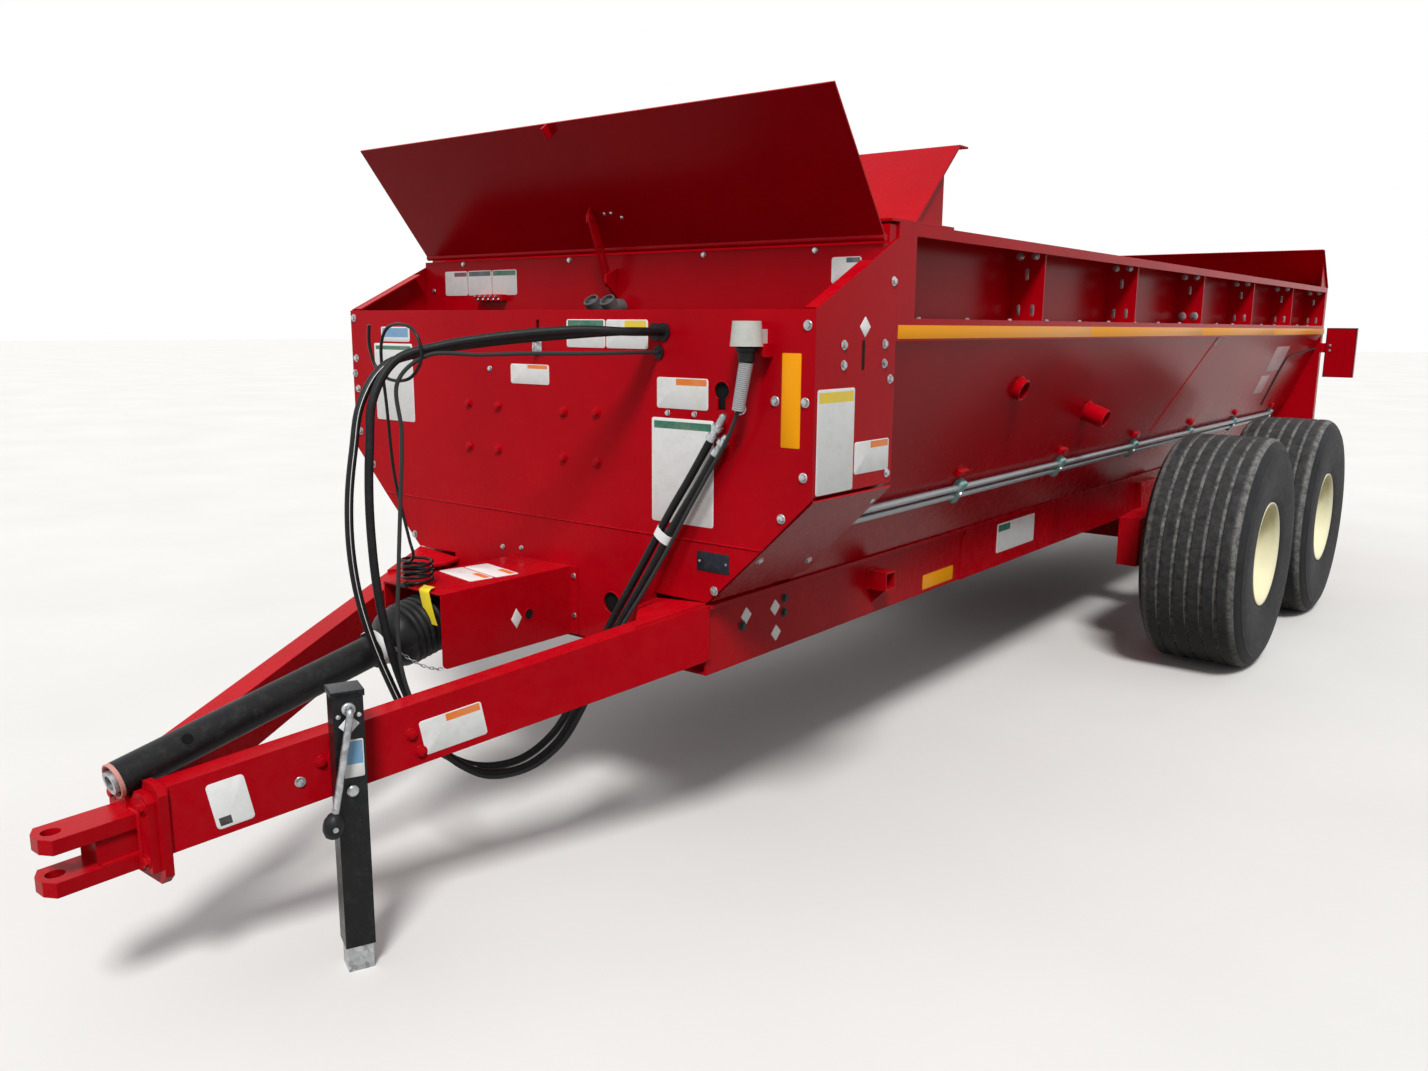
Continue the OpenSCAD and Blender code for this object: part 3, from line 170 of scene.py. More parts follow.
@dataclass(frozen=True)
class Enamel(Finish):
    """Sprayed gloss enamel on folded sheet steel.

    The eye sees an even colour with a soft orange peel, slightly duller and
    dustier on faces that look up and near the ground.
    """

    colour: str = "#b80013"
    shade_colour: str = "#a60011"
    dust_colour: str = "#b9a58c"
    dust: float = 0.03
    roughness: float = 0.24
    specular: float = 0.06
    edge_r: float = 0.002
    peel_mm: float = 3.0
    peel_depth: float = 0.06
    dust_low_m: float = 0.15
    dust_high_m: float = 1.2

    def shade(self, tree: bpy.types.NodeTree, bsdf: bpy.types.Node, coord: bpy.types.NodeSocket) -> None:
        """Adds the enamel's mottle, dust veil and orange peel."""
        mottle = add_node(tree, "TexNoise",
                          {"Vector": coord, "Scale": 2.2, "Detail": 5.0, "Roughness": 0.6})
        base = add_node(tree, "ValToRGB", {"Fac": mottle.outputs["Fac"]})
        set_ramp(base, [(0.3, self.shade_colour), (0.7, self.colour)])
        # Settled dust: thicker where the face looks up, and in low splashes
        normal = add_node(tree, "NewGeometry").outputs["Normal"]
        up = add_node(tree, "SeparateXYZ", {0: normal}).outputs["Z"]
        upward = add_node(tree, "MapRange", {0: up, 1: 0.35, 2: 1.0, 3: 0.0, 4: 0.55})
        place = add_node(tree, "SeparateXYZ", {0: coord}).outputs["Z"]
        low = add_node(tree, "MapRange",
                       {0: place, 1: self.dust_low_m, 2: self.dust_high_m, 3: 0.75, 4: 0.12})
        # Dust lies in patches about 40 mm across, broken up by 4 mm specks
        patches = add_node(tree, "TexNoise",
                           {"Vector": coord, "Scale": 24.0, "Detail": 9.0, "Roughness": 0.72})
        patchy = add_node(tree, "MapRange", {0: patches.outputs["Fac"], 1: 0.42, 2: 0.72, 3: 0.15, 4: 1.0})
        lying = add_node(tree, "Math", {0: upward.outputs[0], 1: low.outputs[0]}, operation="MAXIMUM")
        veil = add_node(tree, "Math", {0: lying.outputs[0], 1: patchy.outputs[0]}, operation="MULTIPLY")
        amount = add_node(tree, "Math", {0: veil.outputs[0], 1: self.dust}, operation="MULTIPLY")
        colour = add_node(tree, "Mix",
                          {0: amount.outputs[0], 6: base.outputs[0], 7: linear(self.dust_colour)},
                          data_type="RGBA")
        tree.links.new(colour.outputs[2], bsdf.inputs["Base Color"])
        rough = add_node(tree, "MapRange",
                         {0: veil.outputs[0], 1: 0.0, 2: 1.0, 3: self.roughness, 4: self.roughness + 0.25})
        tree.links.new(rough.outputs[0], bsdf.inputs["Roughness"])
        peel = add_node(tree, "TexNoise", {"Vector": coord, "Scale": 1000 / self.peel_mm, "Detail": 1.0})
        # Sheet waviness of a few hundred millimetres, as folding and welding leave it
        wave = add_node(tree, "TexNoise", {"Vector": coord, "Scale": 3.0, "Detail": 1.0})
        # Bent and sprayed edges are round by about 2 mm
        rounded = add_node(tree, "Bevel", {"Radius": self.edge_r}, samples=4)
        wide = add_node(tree, "Bump",
                        {"Height": wave.outputs["Fac"], "Strength": 0.35, "Distance": 0.004,
                         "Normal": rounded.outputs[0]})
        bump = add_node(tree, "Bump",
                        {"Height": peel.outputs["Fac"], "Strength": self.peel_depth, "Distance": 0.0004,
                         "Normal": wide.outputs[0]})
        tree.links.new(bump.outputs[0], bsdf.inputs["Normal"])
        bsdf.inputs["Specular IOR Level"].default_value = self.specular


@dataclass(frozen=True)
class WornEnamel(Enamel):
    """Enamel that the load has rubbed thin, with bare and lightly rusted steel."""

    steel_colour: str = "#8d8078"
    rust_colour: str = "#6b3522"
    wear: float = 0.52

    def shade(self, tree: bpy.types.NodeTree, bsdf: bpy.types.Node, coord: bpy.types.NodeSocket) -> None:
        """Lays rubbed patches of steel and rust over the enamel."""
        super().shade(tree, bsdf, coord)
        enamel = bsdf.inputs["Base Color"].links[0].from_socket
        # Rubbed patches 30 to 80 mm across
        rub = add_node(tree, "TexNoise", {"Vector": coord, "Scale": 16.0, "Detail": 8.0, "Roughness": 0.7})
        bare = add_node(tree, "ValToRGB", {"Fac": rub.outputs["Fac"]})
        set_ramp(bare, [(self.wear, "#000000"), (self.wear + 0.05, "#ffffff")])
        grains = add_node(tree, "TexNoise",
                          {"Vector": coord, "Scale": 90.0, "Detail": 6.0, "Roughness": 0.7})
        metal = add_node(tree, "ValToRGB", {"Fac": grains.outputs["Fac"]})
        set_ramp(metal, [(0.4, self.steel_colour), (0.6, self.rust_colour)])
        colour = add_node(tree, "Mix",
                          {0: bare.outputs[0], 6: enamel, 7: metal.outputs[0]}, data_type="RGBA")
        tree.links.new(colour.outputs[2], bsdf.inputs["Base Color"])


@dataclass(frozen=True)
class TyreRubber(Finish):
    """Carbon-black tyre rubber, greyed by dust that stays in grooves and on rib edges."""

    slot: str = "tyre_rubber"
    centre: tuple[float, float, float] = (0.0, 0.0, 0.0)
    colour: str = "#17181a"
    worn_colour: str = "#2b2c2f"
    dust_colour: str = "#a3a19c"
    tread_r: float = 0.494
    shoulder_r: tuple = (0.479, 0.4815)
    side_dust: float = 0.06
    ring_m: float = 0.009
    specular: float = 0.15

    def shade(self, tree: bpy.types.NodeTree, bsdf: bpy.types.Node, coord: bpy.types.NodeSocket) -> None:
        """Adds dust by depth, scuffs and the moulded rings of the sidewall."""
        local = add_node(tree, "VectorMath", {0: coord, 1: self.centre}, operation="SUBTRACT")
        flat = add_node(tree, "VectorMath", {0: local.outputs[0], 1: (0.0, 1.0, 1.0)}, operation="MULTIPLY")
        radius = add_node(tree, "VectorMath", {0: flat.outputs[0]}, operation="LENGTH")
        r = radius.outputs["Value"]
        scuff = add_node(tree, "TexNoise",
                         {"Vector": coord, "Scale": 38.0, "Detail": 9.0, "Roughness": 0.75})
        patches = add_node(tree, "TexNoise",
                           {"Vector": coord, "Scale": 7.0, "Detail": 6.0, "Roughness": 0.65})
        base = add_node(tree, "ValToRGB", {"Fac": patches.outputs["Fac"]})
        set_ramp(base, [(0.35, self.colour), (0.75, self.worn_colour)])
        # Dust in the grooves: from full at their floor to none at the tread
        depth = add_node(tree, "MapRange",
                         {0: r, 1: self.tread_r - 0.004, 2: self.tread_r - 0.0006, 3: 1.0, 4: 0.12})
        low, high = self.shoulder_r
        side = add_node(tree, "MapRange", {0: r, 1: low, 2: high, 3: 0.0, 4: 1.0})
        in_grooves = add_node(tree, "Math", {0: depth.outputs[0], 1: side.outputs[0]}, operation="MULTIPLY")
        grit = add_node(tree, "MapRange", {0: scuff.outputs["Fac"], 1: 0.4, 2: 0.7, 3: 0.12, 4: 0.75})
        dust = add_node(tree, "Math", {0: in_grooves.outputs[0], 1: self.side_dust}, operation="ADD",
                        use_clamp=True)
        amount = add_node(tree, "Math", {0: dust.outputs[0], 1: grit.outputs[0]}, operation="MULTIPLY")
        colour = add_node(tree, "Mix",
                          {0: amount.outputs[0], 6: base.outputs[0], 7: linear(self.dust_colour)},
                          data_type="RGBA")
        tree.links.new(colour.outputs[2], bsdf.inputs["Base Color"])
        rough = add_node(tree, "MapRange", {0: scuff.outputs["Fac"], 1: 0.3, 2: 0.7, 3: 0.5, 4: 0.8})
        tree.links.new(rough.outputs[0], bsdf.inputs["Roughness"])
        # Moulded rings 9 mm apart on the sidewall, fading out on the tread
        turns = add_node(tree, "Math", {0: r, 1: TAU / self.ring_m}, operation="MULTIPLY")
        ring = add_node(tree, "Math", {0: turns.outputs[0]}, operation="SINE")
        fade = add_node(tree, "MapRange", {0: r, 1: 0.40, 2: 0.42, 3: 0.5, 4: 0.0})
        rings = add_node(tree, "Math", {0: ring.outputs[0], 1: fade.outputs[0]}, operation="MULTIPLY")
        relief = add_node(tree, "Math", {0: rings.outputs[0], 1: scuff.outputs["Fac"]}, operation="ADD")
        bump = add_node(tree, "Bump", {"Height": relief.outputs[0], "Strength": 0.5, "Distance": 0.001})
        tree.links.new(bump.outputs[0], bsdf.inputs["Normal"])
        bsdf.inputs["Specular IOR Level"].default_value = self.specular


@dataclass(frozen=True)
class Moulded(Finish):
    """Moulded plastic, rubber or dull paint: an even colour, finely grained and scuffed."""

    colour: str = "#17181a"
    scuff_colour: str = "#4a4946"
    roughness: float = 0.5
    scuffs: float = 0.35
    grain_mm: float = 1.5
    grain_depth: float = 0.2
    metallic: float = 0.0
    specular: float = 0.22

    def shade(self, tree: bpy.types.NodeTree, bsdf: bpy.types.Node, coord: bpy.types.NodeSocket) -> None:
        """Adds scuffs and grain."""
        scuff = add_node(tree, "TexNoise",
                         {"Vector": coord, "Scale": 45.0, "Detail": 9.0, "Roughness": 0.75})
        amount = add_node(tree, "MapRange",
                          {0: scuff.outputs["Fac"], 1: 0.5, 2: 0.75, 3: 0.0, 4: self.scuffs})
        colour = add_node(tree, "Mix",
                          {0: amount.outputs[0], 6: linear(self.colour), 7: linear(self.scuff_colour)},
                          data_type="RGBA")
        tree.links.new(colour.outputs[2], bsdf.inputs["Base Color"])
        rough = add_node(tree, "MapRange",
                         {0: scuff.outputs["Fac"], 1: 0.3, 2: 0.7, 3: self.roughness - 0.08,
                          4: self.roughness + 0.15})
        tree.links.new(rough.outputs[0], bsdf.inputs["Roughness"])
        grain = add_node(tree, "TexNoise", {"Vector": coord, "Scale": 1000 / self.grain_mm, "Detail": 2.0})
        bump = add_node(tree, "Bump",
                        {"Height": grain.outputs["Fac"], "Strength": self.grain_depth, "Distance": 0.0005})
        tree.links.new(bump.outputs[0], bsdf.inputs["Normal"])
        bsdf.inputs["Metallic"].default_value = self.metallic
        bsdf.inputs["Specular IOR Level"].default_value = self.specular


@dataclass(frozen=True)
class ZincPlate(Finish):
    """Bright zinc plating or galvanising, softly spangled and a little tarnished."""

    colour: str = "#c3c6c8"
    tarnish_colour: str = "#8b8e90"
    roughness: float = 0.34
    spangle_mm: float = 12.0

    def shade(self, tree: bpy.types.NodeTree, bsdf: bpy.types.Node, coord: bpy.types.NodeSocket) -> None:
        """Adds spangle and tarnish."""
        spangle = add_node(tree, "TexVoronoi", {"Vector": coord, "Scale": 1000 / self.spangle_mm})
        tarnish = add_node(tree, "TexNoise",
                           {"Vector": coord, "Scale": 30.0, "Detail": 8.0, "Roughness": 0.7})
        blend = add_node(tree, "Math",
                         {0: tarnish.outputs["Fac"], 1: spangle.outputs["Color"]}, operation="MULTIPLY")
        base = add_node(tree, "ValToRGB", {"Fac": blend.outputs[0]})
        set_ramp(base, [(0.05, self.tarnish_colour), (0.45, self.colour)])
        tree.links.new(base.outputs[0], bsdf.inputs["Base Color"])
        rough = add_node(tree, "MapRange",
                         {0: tarnish.outputs["Fac"], 1: 0.3, 2: 0.7, 3: self.roughness - 0.08,
                          4: self.roughness + 0.16})
        tree.links.new(rough.outputs[0], bsdf.inputs["Roughness"])
        bsdf.inputs["Metallic"].default_value = 0.9


@dataclass(frozen=True)
class Vinyl(Finish):
    """Printed sign vinyl, semi-gloss and slightly grimed, with nothing printed on it."""

    colour: str = "#e9eae8"
    grime_colour: str = "#b9b2a4"
    roughness: float = 0.38

    def shade(self, tree: bpy.types.NodeTree, bsdf: bpy.types.Node, coord: bpy.types.NodeSocket) -> None:
        """Adds a light film of grime."""
        film = add_node(tree, "TexNoise", {"Vector": coord, "Scale": 30.0, "Detail": 7.0, "Roughness": 0.7})
        amount = add_node(tree, "MapRange", {0: film.outputs["Fac"], 1: 0.45, 2: 0.8, 3: 0.0, 4: 0.35})
        colour = add_node(tree, "Mix",
                          {0: amount.outputs[0], 6: linear(self.colour), 7: linear(self.grime_colour)},
                          data_type="RGBA")
        tree.links.new(colour.outputs[2], bsdf.inputs["Base Color"])
        bsdf.inputs["Roughness"].default_value = self.roughness


@dataclass(frozen=True)
class Reflector(Finish):
    """Retroreflective tape: small prism cells under a clear film."""

    colour: str = "#f7a307"
    cell_colour: str = "#ee9705"
    cell_mm: float = 4.0
    specular: float = 0.15

    def shade(self, tree: bpy.types.NodeTree, bsdf: bpy.types.Node, coord: bpy.types.NodeSocket) -> None:
        """Adds the prism cells."""
        cells = add_node(tree, "TexVoronoi",
                         {"Vector": coord, "Scale": 1000 / self.cell_mm, "Randomness": 0.15},
                          feature="DISTANCE_TO_EDGE")
        base = add_node(tree, "ValToRGB", {"Fac": cells.outputs["Distance"]})
        set_ramp(base, [(0.02, self.cell_colour), (0.12, self.colour)])
        tree.links.new(base.outputs[0], bsdf.inputs["Base Color"])
        bsdf.inputs["Roughness"].default_value = 0.3
        bsdf.inputs["Specular IOR Level"].default_value = self.specular


class Paints:
    """The finishes of this machine, by what they are on."""

    red = Enamel("gloss_red_enamel", "red_paint")
    cream = Enamel("cream_wheel_enamel", "rim_paint", "#ece7c6", "#e5dfbb", roughness=0.34, dust=0.1)
    rubbed = WornEnamel("rubbed_red_enamel", colour="#8d1018", shade_colour="#6f0c13", dust=0.3)
    guard = Moulded("scuffed_polyethylene", colour="#141517", roughness=0.42)
    rubber = Moulded("hose_cover_rubber", colour="#101113", roughness=0.48, scuffs=0.25, grain_mm=2.0)
    black = Moulded("black_enamel", "black_paint", "#101214", roughness=0.3, scuffs=0.3, grain_mm=3.0,
                    grain_depth=0.05)
    sheath = Moulded("cable_sheath", colour="#0e0f10", roughness=0.42, scuffs=0.2)
    spring = Moulded("grey_ribbed_plastic", "grey_plastic", "#a9abad", "#c6c8ca", roughness=0.4)
    iron = Moulded("cast_iron_paint", colour="#2b2d2f", roughness=0.55, scuffs=0.4, grain_mm=2.0)
    zinc = ZincPlate("zinc_plate", "zinc_steel")
    galvanised = Moulded("galvanised_tube", "", "#9da1a4", "#c4c8ca", 0.38, 0.4, grain_mm=4.0,
                         grain_depth=0.05, metallic=0.55)
    clamp = Moulded("teal_plastic", colour="#7fa7a1", scuff_colour="#a8b5b0", roughness=0.45)
    cup = Moulded("pale_grey_plastic", colour="#c3c4bd", scuff_colour="#8f8f88", roughness=0.5)
    white = Vinyl("white_sign_vinyl")
    green = Vinyl("green_sign_vinyl", colour="#1e6b50")
    orange = Vinyl("orange_sign_vinyl", colour="#e87a22")
    yellow = Vinyl("yellow_sign_vinyl", colour="#f0cf1c")
    ink = Vinyl("black_sign_vinyl", colour="#1d1d1f")
    blue = Vinyl("blue_sign_vinyl", colour="#6f9fc4")
    tag = Vinyl("yellow_card", colour="#e8d019", roughness=0.6)
    foil = Moulded("dark_foil_plate", colour="#23272f", scuff_colour="#55585e", roughness=0.35, metallic=0.5)
    amber = Reflector("amber_reflective_tape")
    maroon = Vinyl("maroon_sign_vinyl", colour="#7d2431")
    slate = Vinyl("slate_sign_vinyl", colour="#43565c")
    rose = Vinyl("faded_sign_vinyl", colour="#b98a8c", grime_colour="#8d4a50")
    red_tape = Reflector("red_reflective_tape", colour="#c2121c", cell_colour="#8d0a12")
    lens = Moulded("red_lens", "", "#a00d14", "#b53138", 0.18, 0.1, grain_mm=6.0)
    amber_lens = Moulded("amber_lens", "", "#e08a12", "#e8a84a", 0.18, 0.1, grain_mm=6.0)
    cap = Moulded("grey_cap_plastic", colour="#4a4d4f", scuff_colour="#7b7d7c", roughness=0.5)
    elbow = Moulded("grey_tube_paint", colour="#5a5b5b", scuff_colour="#8b8780", roughness=0.55)
    pink = Moulded("pink_bearing_ring", colour="#c98f84", scuff_colour="#8e6259", roughness=0.6)
    # Near-black painted shade: sheets, discs and slots that stand for the shade inside holes, slots and tube
    # mouths
    dark = Moulded("painted_shade_black", colour="#050505", scuffs=0.0, roughness=0.9)


@dataclass(frozen=True)
class Face:
    """A flat face of the machine that things are set on.

    Its origin is a place in metres; across, up and out are unit directions, and
    shapes on it are drawn in millimetres along them.
    """

    origin: Vector
    across: Vector
    up: Vector

    def frame(self, x: float = 0.0, y: float = 0.0, out: float = 0.0, turn: float = 0.0) -> Matrix:
        """Places a drawing of the face in the part's frame.

        Args:
            x: Distance across, mm.
            y: Distance up, mm.
            out: Distance out of the face, mm.
            turn: Turn about the outward direction, degrees.

        Returns:
            The matrix that takes millimetres on the face to metres.
        """
        normal = self.across.cross(self.up)
        place = self.origin + (self.across * x + self.up * y + normal * out) * MM
        basis = Matrix((self.across, self.up, normal)).transposed().to_4x4()
        spin = Matrix.Rotation(math.radians(turn), 4, "Z")
        return Matrix.Translation(place) @ basis @ spin @ IN_MM


X_AXIS, Y_AXIS, Z_AXIS = Vector((1, 0, 0)), Vector((0, 1, 0)), Vector((0, 0, 1))
TONGUE_FRONT_Y, RAIL_X, RAIL_TOP_Z, TIP_X, TIP_Z = 1185.0, 592.0, 722.0, 95.0, 484.0
TONGUE_YAW = math.atan2(RAIL_X - TIP_X, TONGUE_FRONT_Y)
TONGUE_FALL = math.atan((RAIL_TOP_Z - TIP_Z) / math.hypot(RAIL_X - TIP_X, TONGUE_FRONT_Y))
BEAM_BACK = Vector((math.sin(TONGUE_YAW), math.cos(TONGUE_YAW), 0))
BEAM_BACK_RIGHT = Vector((-math.sin(TONGUE_YAW), math.cos(TONGUE_YAW), 0))
BEAM_OUT = Vector((math.cos(TONGUE_YAW), -math.sin(TONGUE_YAW), 0))
JACK_S, JACK_MID = 923.0, 42.5
KNEE_X, KNEE_Z, V_RUN, V_RISE = 731.0, 955.0, 171.0, 445.0
# Direction out of the left V side, across and up
V_OUT_X, V_OUT_Z = 0.933, -0.359
REAR_WALL_Y = 5992.0
WHEEL_X, WHEEL_Z = 1124.0, 494.0
AXLES = (("front", 2930.0), ("rear", 4165.0))
PTO_PITCH = math.atan2(668 - 486, 1244 - 400)
PTO_FORWARD = Vector((0, -math.cos(PTO_PITCH), -math.sin(PTO_PITCH)))
FLAP_ANGLE = math.radians(180 - 52)
SLANT = Vector((KNEE_X - RAIL_X, KNEE_Z - RAIL_TOP_Z)).normalized()
EXPELLER_X = -(RAIL_X + 155 * SLANT.x + 180 * SLANT.y)
EXPELLER_Z = RAIL_TOP_Z + 155 * SLANT.y - 180 * SLANT.x


class Faces:
    """The faces that the sub-assemblies are dressed on."""

    front = Face(at(0, 0, 0), X_AXIS, Z_AXIS)
    left = Face(at(HALF_W, 0, 0), Y_AXIS, Z_AXIS)
    right = Face(at(-HALF_W, 0, 0), -Y_AXIS, Z_AXIS)
    wall = Face(at(0, 306, 0), X_AXIS, Z_AXIS)
    rail = Face(at(RAIL_X, 0, 0), Y_AXIS, Z_AXIS)
    rail_front = Face(at(RAIL_X - 6, 0, 0), Y_AXIS, Z_AXIS)
    rear = Face(at(0, REAR_WALL_Y, 0), -X_AXIS, Z_AXIS)
    slant = Face(at(RAIL_X, 0, RAIL_TOP_Z), Y_AXIS, Vector((139, 0, 233)).normalized())
    beam = Face(at(RAIL_X, 0, RAIL_TOP_Z),
                BEAM_BACK * math.cos(TONGUE_FALL) + Z_AXIS * math.sin(TONGUE_FALL),
                Z_AXIS * math.cos(TONGUE_FALL) - BEAM_BACK * math.sin(TONGUE_FALL))
    beam_level = Face(at(RAIL_X, 0, 0), BEAM_BACK, Z_AXIS)
    flange = Face(at(0, -1221.3, 0), X_AXIS, Z_AXIS)
    hood_side = Face(at(98, 0, 0), Y_AXIS, Z_AXIS)
    hood_top = Face(at(0, 0, 760), X_AXIS, Y_AXIS)
    flap = Face(at(17, 300, 1655), X_AXIS, Vector((0, math.cos(FLAP_ANGLE), math.sin(FLAP_ANGLE))))
    pto = Face(at(-12, -400, 668), X_AXIS, PTO_FORWARD.cross(X_AXIS))
    lower_cover = Face(at(HALF_W, 0, 1030), Y_AXIS, Vector((315, 0, 308)).normalized())
    lower_cover_right = Face(at(-HALF_W, 0, 1030), -Y_AXIS, Vector((-315, 0, 308)).normalized())
    rail_front_right = Face(at(6 - RAIL_X, 0, 0), -Y_AXIS, Z_AXIS)
    beam_right = Face(at(-RAIL_X, 0, RAIL_TOP_Z),
                      -(BEAM_BACK_RIGHT * math.cos(TONGUE_FALL) + Z_AXIS * math.sin(TONGUE_FALL)),
                      Z_AXIS * math.cos(TONGUE_FALL) - BEAM_BACK_RIGHT * math.sin(TONGUE_FALL))
    jack_top = Face(at(RAIL_X, 0, 645) + (BEAM_OUT * JACK_MID - BEAM_BACK * JACK_S) * MM, BEAM_OUT, BEAM_BACK)


def circle(r: float, n: int, z: float = 0.0, turn: float = 0.0) -> list[tuple[float, float, float]]:
    """Gives n places evenly round a circle, from a turn in radians on."""
    return [(r * math.cos(TAU * k / n + turn), r * math.sin(TAU * k / n + turn), z) for k in range(n)]


def select_none() -> None:
    """Leaves edit mode and deselects every object."""
    active = bpy.context.view_layer.objects.active
    if active and active.mode != "OBJECT":
        bpy.ops.object.mode_set(mode="OBJECT")
    bpy.ops.object.select_all(action="DESELECT")


def take(piece: bpy.types.Object) -> None:
    """Makes a piece the only selected and the active one."""
    select_none()
    piece.select_set(True)
    bpy.context.view_layer.objects.active = piece


def pick(piece: bpy.types.Object, kind: str, test: Callable) -> None:
    """Opens a piece in edit mode with some of its edges or faces selected.

    Args:
        piece: The piece to edit.
        kind: EDGE or FACE.
        test: Says of each edge or face whether it is taken.
    """
    take(piece)
    bpy.ops.object.mode_set(mode="EDIT")
    bpy.ops.mesh.select_mode(type=kind)
    bpy.ops.mesh.select_all(action="DESELECT")
    mesh = bmesh.from_edit_mesh(piece.data)
    for part in mesh.edges if kind == "EDGE" else mesh.faces:
        if test(part):
            part.select_set(True)
    bmesh.update_edit_mesh(piece.data)


def upright(edge: bmesh.types.BMEdge) -> bool:
    """Says whether an edge runs out of the face it stands on."""
    run = edge.verts[1].co - edge.verts[0].co
    return abs(run.z) > 0.9 * run.length


def block(w: float, h: float, t: float, corner: float = 0.0, edge: float = 0.8) -> bpy.types.Object:
    """Models a plate or block whose back lies on the face, in mm.

    Args:
        w: Width across.
        h: Height.
        t: Thickness out of the face.
        corner: Radius of the corners seen from the front.
        edge: Chamfer of the front edge.

    Returns:
        The block, centred across and up.
    """
    select_none()
    bpy.ops.mesh.primitive_cube_add(size=1, location=(0, 0, t / 2))
    made = bpy.context.object
    made.scale = (w, h, t)
    bpy.ops.object.transform_apply(location=True, rotation=True, scale=True)
    if corner:
        pick(made, "EDGE", upright)
        bpy.ops.mesh.bevel(offset=corner, segments=5, affect="EDGES")
    pick(made, "EDGE", lambda e: all(v.co.z > t * 0.99 for v in e.verts)
         and len(e.link_faces) == 2 and any(abs(f.normal.z) < 0.5 for f in e.link_faces))
    bpy.ops.mesh.bevel(offset=min(edge, t * 0.4), segments=2, affect="EDGES")
    bpy.ops.object.mode_set(mode="OBJECT")
    return made


def plate(outline: Sequence[Point], t: float, edge: float = 0.8) -> bpy.types.Object:
    """Models a flat plate of any outline, in mm.

    Args:
        outline: Its corners as (x, y), anticlockwise.
        t: Thickness out of the face.
        edge: Chamfer of the front edge.

    Returns:
        The plate with its back on the face.
    """
    select_none()
    bpy.ops.mesh.primitive_circle_add(vertices=len(outline), radius=1, fill_type="NGON")
    made = bpy.context.object
    for vertex, (x, y) in zip(made.data.vertices, outline):
        vertex.co = (x, y, 0)
    pick(made, "FACE", lambda f: True)
    bpy.ops.mesh.extrude_region_move(TRANSFORM_OT_translate={"value": (0, 0, t)})
    bpy.ops.mesh.select_all(action="SELECT")
    bpy.ops.mesh.normals_make_consistent(inside=False)
    pick(made, "EDGE", lambda e: all(v.co.z > t * 0.99 for v in e.verts))
    bpy.ops.mesh.bevel(offset=min(edge, t * 0.4), segments=2, affect="EDGES")
    bpy.ops.object.mode_set(mode="OBJECT")
    return made


def turned(profile: Sequence[Point], steps: int = 32, closed: bool = True) -> bpy.types.Object:
    """Turns a profile about the outward direction, in mm.

    Args:
        profile: Its corners as (radius, height).
        steps: Steps of the whole turn.
        closed: Whether the last corner joins the first.

    Returns:
        The turned piece.
    """
    select_none()
    bpy.ops.mesh.primitive_circle_add(vertices=len(profile), radius=1, fill_type="NOTHING")
    made = bpy.context.object
    for vertex, (r, z) in zip(made.data.vertices, profile):
        vertex.co = (r, 0, z)
    if not closed:
        last = len(profile) - 1
        pick(made, "EDGE", lambda e: {v.index for v in e.verts} == {0, last})
        bpy.ops.mesh.delete(type="EDGE")
    pick(made, "EDGE", lambda e: True)
    bpy.ops.mesh.spin(steps=steps, angle=TAU, center=(0, 0, 0), axis=(0, 0, 1))
    bpy.ops.mesh.select_all(action="SELECT")
    bpy.ops.mesh.remove_doubles(threshold=0.01)
    bpy.ops.mesh.normals_make_consistent(inside=False)
    bpy.ops.object.mode_set(mode="OBJECT")
    return made


def bent_wire(path: Sequence[Point], radius: float, smooth: bool = True, closed: bool = False,
              swell: float = 0.0, every: float = 4.0) -> bpy.types.Object:
    """Models a round wire, tube or weld bead along a path, as a mesh in the path's units.

    Args:
        path: The places it passes.
        radius: Its radius.
        smooth: Whether it curves through the places.
        closed: Whether its end joins its start.
        swell: How much a weld bead's ripples swell, as a share of the radius.
        every: Spacing of the ripples.

    Returns:
        The wire as a mesh.
    """
    select_none()
    data = bpy.data.curves.new("wire", "CURVE")
    data.dimensions = "3D"
    data.bevel_depth = radius
    data.bevel_resolution = 2
    data.resolution_u = 8
    data.use_fill_caps = not closed
    if swell:
        places = ripples(path, every)
        spline = data.splines.new("POLY")
        spline.points.add(len(places) - 1)
        for i, (point, place) in enumerate(zip(spline.points, places)):
            point.co = (*place, 1)
            point.radius = 1 + (swell if i % 2 else -swell)
    else:
        lay_spline(data, path, smooth, closed)
    made = bpy.data.objects.new("wire", data)
    bpy.context.collection.objects.link(made)
    take(made)
    bpy.ops.object.convert(target="MESH")
    return bpy.context.object


def weld(path: Sequence[Point], radius: float, every: float = 4.5) -> bpy.types.Object:
    """Models a weld bead along places counted in mm from the front panel."""
    return bent_wire([at(*p) / MM for p in path], radius, swell=0.14, every=every)


def ripples(path: Sequence[Point], every: float) -> list[Vector]:
    """Divides a broken line into short even steps.

    Args:
        path: Its corners.
        every: Length of a step.

    Returns:
        The places along it.
    """
    places: list[Vector] = []
    for a, b in zip(path, path[1:]):
        a, b = Vector(a), Vector(b)
        n = max(2, round((b - a).length / every))
        places += [a.lerp(b, i / n) for i in range(n)]
    return places + [Vector(path[-1])]


